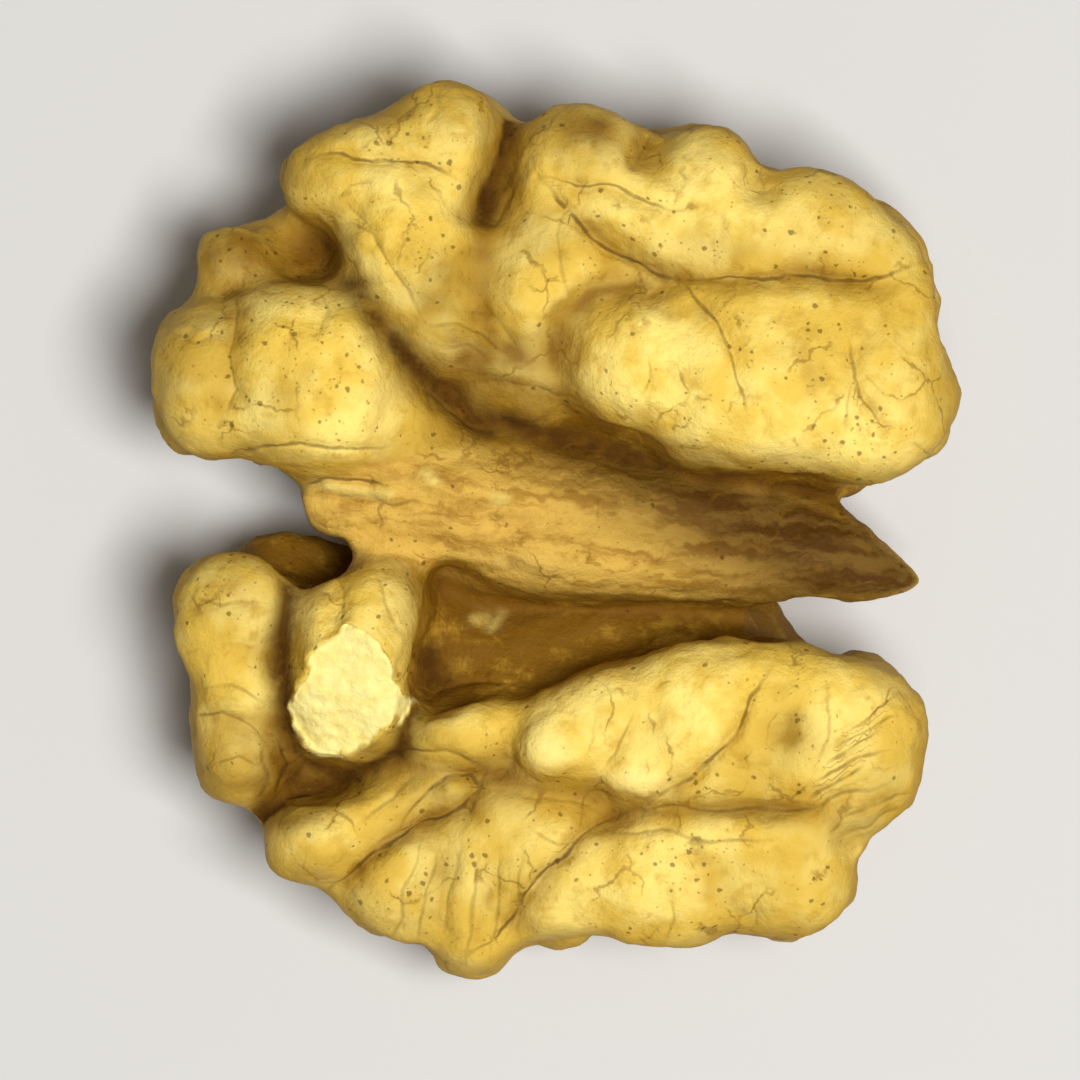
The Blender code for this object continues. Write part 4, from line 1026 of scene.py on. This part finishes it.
# painted shade: tan towards the outer rim
colour = blend(colour, TAN_AND_SHADE, ramp(measure("outward"), 0.74, 1.0, 0.0, 0.35))
print("Colours of the crowns bring it to", len(tree.nodes), "nodes")

# %% Brown where it lies low, partly painted shade, patches of painted shade, and the strip's own fibres and its beak, darker with painted shadow
along_fibres = vector("MULTIPLY", bent, (0.24, 1.7, 1.0))
fibre = grain(1.0, 4.0, 0.6, along_fibres)
strip_colour = blend(STRIP, STRIP_BROWN, ramp(fibre, 0.42, 0.68))
# the beak's dark brown, partly the coat's colour and partly painted shadow
beak_shade_share = maths("MULTIPLY", measure("beak"), ramp(fibre, 0.35, 0.65, 0.86, 1.0))
strip_colour = blend(strip_colour, BEAK_BROWN_AND_SHADE, beak_shade_share)
# painted shade: brown in the shade patches
colour = blend(colour, BROWN, measure("patch_shade"))
# partly a browner coat and partly painted shade: brown where the skin lies low and below the lobes round
# it
colour = blend(colour, BROWN, ramp(measure("low_mm"), 1.0, 5.0, 0.0, 0.6))
colour = blend(colour, BROWN, ramp(measure("below_mm"), 0.4, 4.0, 0.0, 0.9))
colour = blend(colour, strip_colour, measure("strip"))
mottle = ramp(grain(0.7, 5.0, 0.66), 0.48, 0.70, 0.0, 0.55)
web_mottle = maths("MULTIPLY", ramp(measure("below_mm"), 1.0, 3.5), mottle)
colour = blend(colour, OCHRE, maths("MULTIPLY", web_mottle, maths("SUBTRACT", 1.0, measure("strip"))))
print("Low places and the strip bring it to", len(tree.nodes), "nodes")

# %% Furrows in brown that is partly painted shade, the deepest ones in dark painted shade, pale bumps and painted light
# partly the coat's brown and partly painted shade: brown in wide and narrow hollows
colour = blend(colour, BROWN, ramp(measure("wide_mm"), 0.05, 0.55, 0.0, 0.75))
colour = blend(colour, BROWN, ramp(measure("narrow_mm"), 0.02, 0.14, 0.0, 0.5))
cloudy = ramp(grain(0.8, 4.0, 0.6), 0.3, 0.6, 0.6, 1.0)
# painted shade: dark brown in the deepest furrows and spots, clouded by a noise
colour = blend(colour, DARK_BROWN, maths("MULTIPLY", measure("deep_shade"), cloudy))
# pale bumps, and painted light in a few pale patches
colour = blend(colour, CREAM, ramp(measure("pale"), 0.0, 1.0, 0.0, 0.7))
print("Furrows bring it to", len(tree.nodes), "nodes")

# %% Crease lines that are partly painted shade, veins, specks, torn fibres with two painted glints, and bare flesh
wobble = ramp(grain(1.3, 2.0), 0.25, 0.75, -0.04, 0.04)
off_line = maths("ABSOLUTE", maths("ADD", measure("line_side"), wobble, False), 0.0, False)
line = maths("MULTIPLY", ramp(off_line, 0.11, 0.02), measure("line_weight"))
line = maths("MULTIPLY", line, ramp(grain(0.9, 2.0), 0.3, 0.55, 0.5, 1.0))
colour = blend(colour, BROWN, maths("MULTIPLY", fine_veins, 0.5))
# a dark line at the bottom of each crease: partly the coat's own line and partly painted shade
colour = blend(colour, DARK_BROWN, maths("MULTIPLY", line, 0.75))
colour = blend(colour, DARK_BROWN, maths("MULTIPLY", large_specks, 0.62))
colour = blend(colour, BROWN, maths("MULTIPLY", small_specks, 0.55))
# pale torn fibres, and two painted glints on the strip
colour = blend(colour, FLESH_SHADE, maths("MULTIPLY", measure("torn"), 0.7))
flesh_colour = blend(FLESH, FLESH_SHADE, ramp(grain(1.6, 5.0, 0.7), 0.4, 0.75))
colour = blend(colour, flesh_colour, measure("flesh"))
tree.links.new(colour, shader.inputs["Base Color"])
print("Lines, specks and flesh bring it to", len(tree.nodes), "nodes")

# %% A dull gloss and a fine bump
for socket, value in {"Metallic": 0.0, "IOR": 1.45, "Specular IOR Level": 0.12}.items():
    shader.inputs[socket].default_value = value
in_furrows = ramp(measure("deep_shade"), 0.0, 0.6, 0.0, 0.9)
dull = maths("MAXIMUM", ramp(grain(1.1, 2.0), 0.3, 0.7, 0.50, 0.66), in_furrows)
tree.links.new(dull, shader.inputs["Roughness"])
bump = node("ShaderNodeBump", {"Strength": 0.8, "Distance": 0.00016, "Height": grain(2.4, 6.0, 0.68)})
tree.links.new(bump.outputs["Normal"], shader.inputs["Normal"])
kernel.data.materials.clear()
kernel.data.materials.append(skin)
print("The skin has", len(tree.nodes), "nodes")

# %% The kernel takes the solid's place
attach(kernel, "root")
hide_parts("kernel")
print("Triangles:", sum(len(face.vertices) - 2 for face in kernel.data.polygons))

# %% [markdown]
# ## Floor, light and camera
#
# The kernel is seen from straight above, turned a few degrees. A wide lens close by would swell its
# middle, so a long lens from some way off keeps its outline true. One soft lamp from the right shows
# the pillows' roundness, and a dim surround keeps the furrows dark without hiding them. The floor is
# plain and pale, so that nothing draws the eye from the kernel.

# %% Floor
PLAIN_PAINT = {"Base Color": (0.60, 0.59, 0.57, 1.0), "Roughness": 0.9}
BELOW_FLATS = 0.00002
FLOOR_REACH = 0.6

floor_body = bmesh.new()
bmesh.ops.create_grid(floor_body, x_segments=1, y_segments=1, size=FLOOR_REACH)
floor_mesh = bpy.data.meshes.new("floor")
floor_body.to_mesh(floor_mesh)
floor_body.free()
floor = bpy.data.objects.new("floor", floor_mesh)
floor.location = (0, 0, -BELOW_FLATS)
bpy.context.scene.collection.objects.link(floor)
floor_paint = bpy.data.materials.new("floor_paint")
floor_paint.use_nodes = True
for socket, value in PLAIN_PAINT.items():
    floor_paint.node_tree.nodes["Principled BSDF"].inputs[socket].default_value = value
floor.data.materials.append(floor_paint)
print("The floor is", round(floor.dimensions.x, 2), "m wide")

# %% One soft lamp and a dim surround
MIDDLE = Vector((0, 0, 0.006))
SURROUND_COLOUR, SURROUND_STRENGTH = (1.0, 0.98, 0.94, 1.0), 0.16


def area_light(name, place, size, watts):
    """A square lamp that looks at the kernel's middle."""
    lamp = bpy.data.lights.new(name, "AREA")
    lamp.size, lamp.energy = size, watts
    obj = bpy.data.objects.new(name, lamp)
    obj.location = place
    obj.rotation_euler = (MIDDLE - Vector(place)).to_track_quat("-Z", "Y").to_euler()
    bpy.context.scene.collection.objects.link(obj)


area_light("key", place=(0.09, -0.04, 0.43), size=0.14, watts=2.25)
world = bpy.data.worlds.new("soft surround")
world.use_nodes = True
world.node_tree.nodes["Background"].inputs["Color"].default_value = SURROUND_COLOUR
world.node_tree.nodes["Background"].inputs["Strength"].default_value = SURROUND_STRENGTH
bpy.context.scene.world = world
bpy.context.scene.view_settings.view_transform = "Standard"
print("Lamps:", len(bpy.data.lights))

# %% Camera, straight above
SENSOR_WIDTH = 36.0
CAMERA_HEIGHT = 0.45
FRAME_WIDTH = 0.0415
LOBE_HEIGHT = 0.012
TURN_DEGREES = 6.0
camera_data = bpy.data.cameras.new("camera")
camera_data.sensor_width = SENSOR_WIDTH
camera_data.lens = SENSOR_WIDTH * (CAMERA_HEIGHT - LOBE_HEIGHT) / FRAME_WIDTH
camera_data.clip_start, camera_data.clip_end = 0.01, 5.0
camera = bpy.data.objects.new("camera", camera_data)
camera.location = (0.0, 0.0, CAMERA_HEIGHT)
camera.rotation_euler = (0.0, 0.0, math.radians(TURN_DEGREES))
bpy.context.scene.collection.objects.link(camera)
bpy.context.scene.camera = camera
print("The lens is", round(camera_data.lens), "mm long")
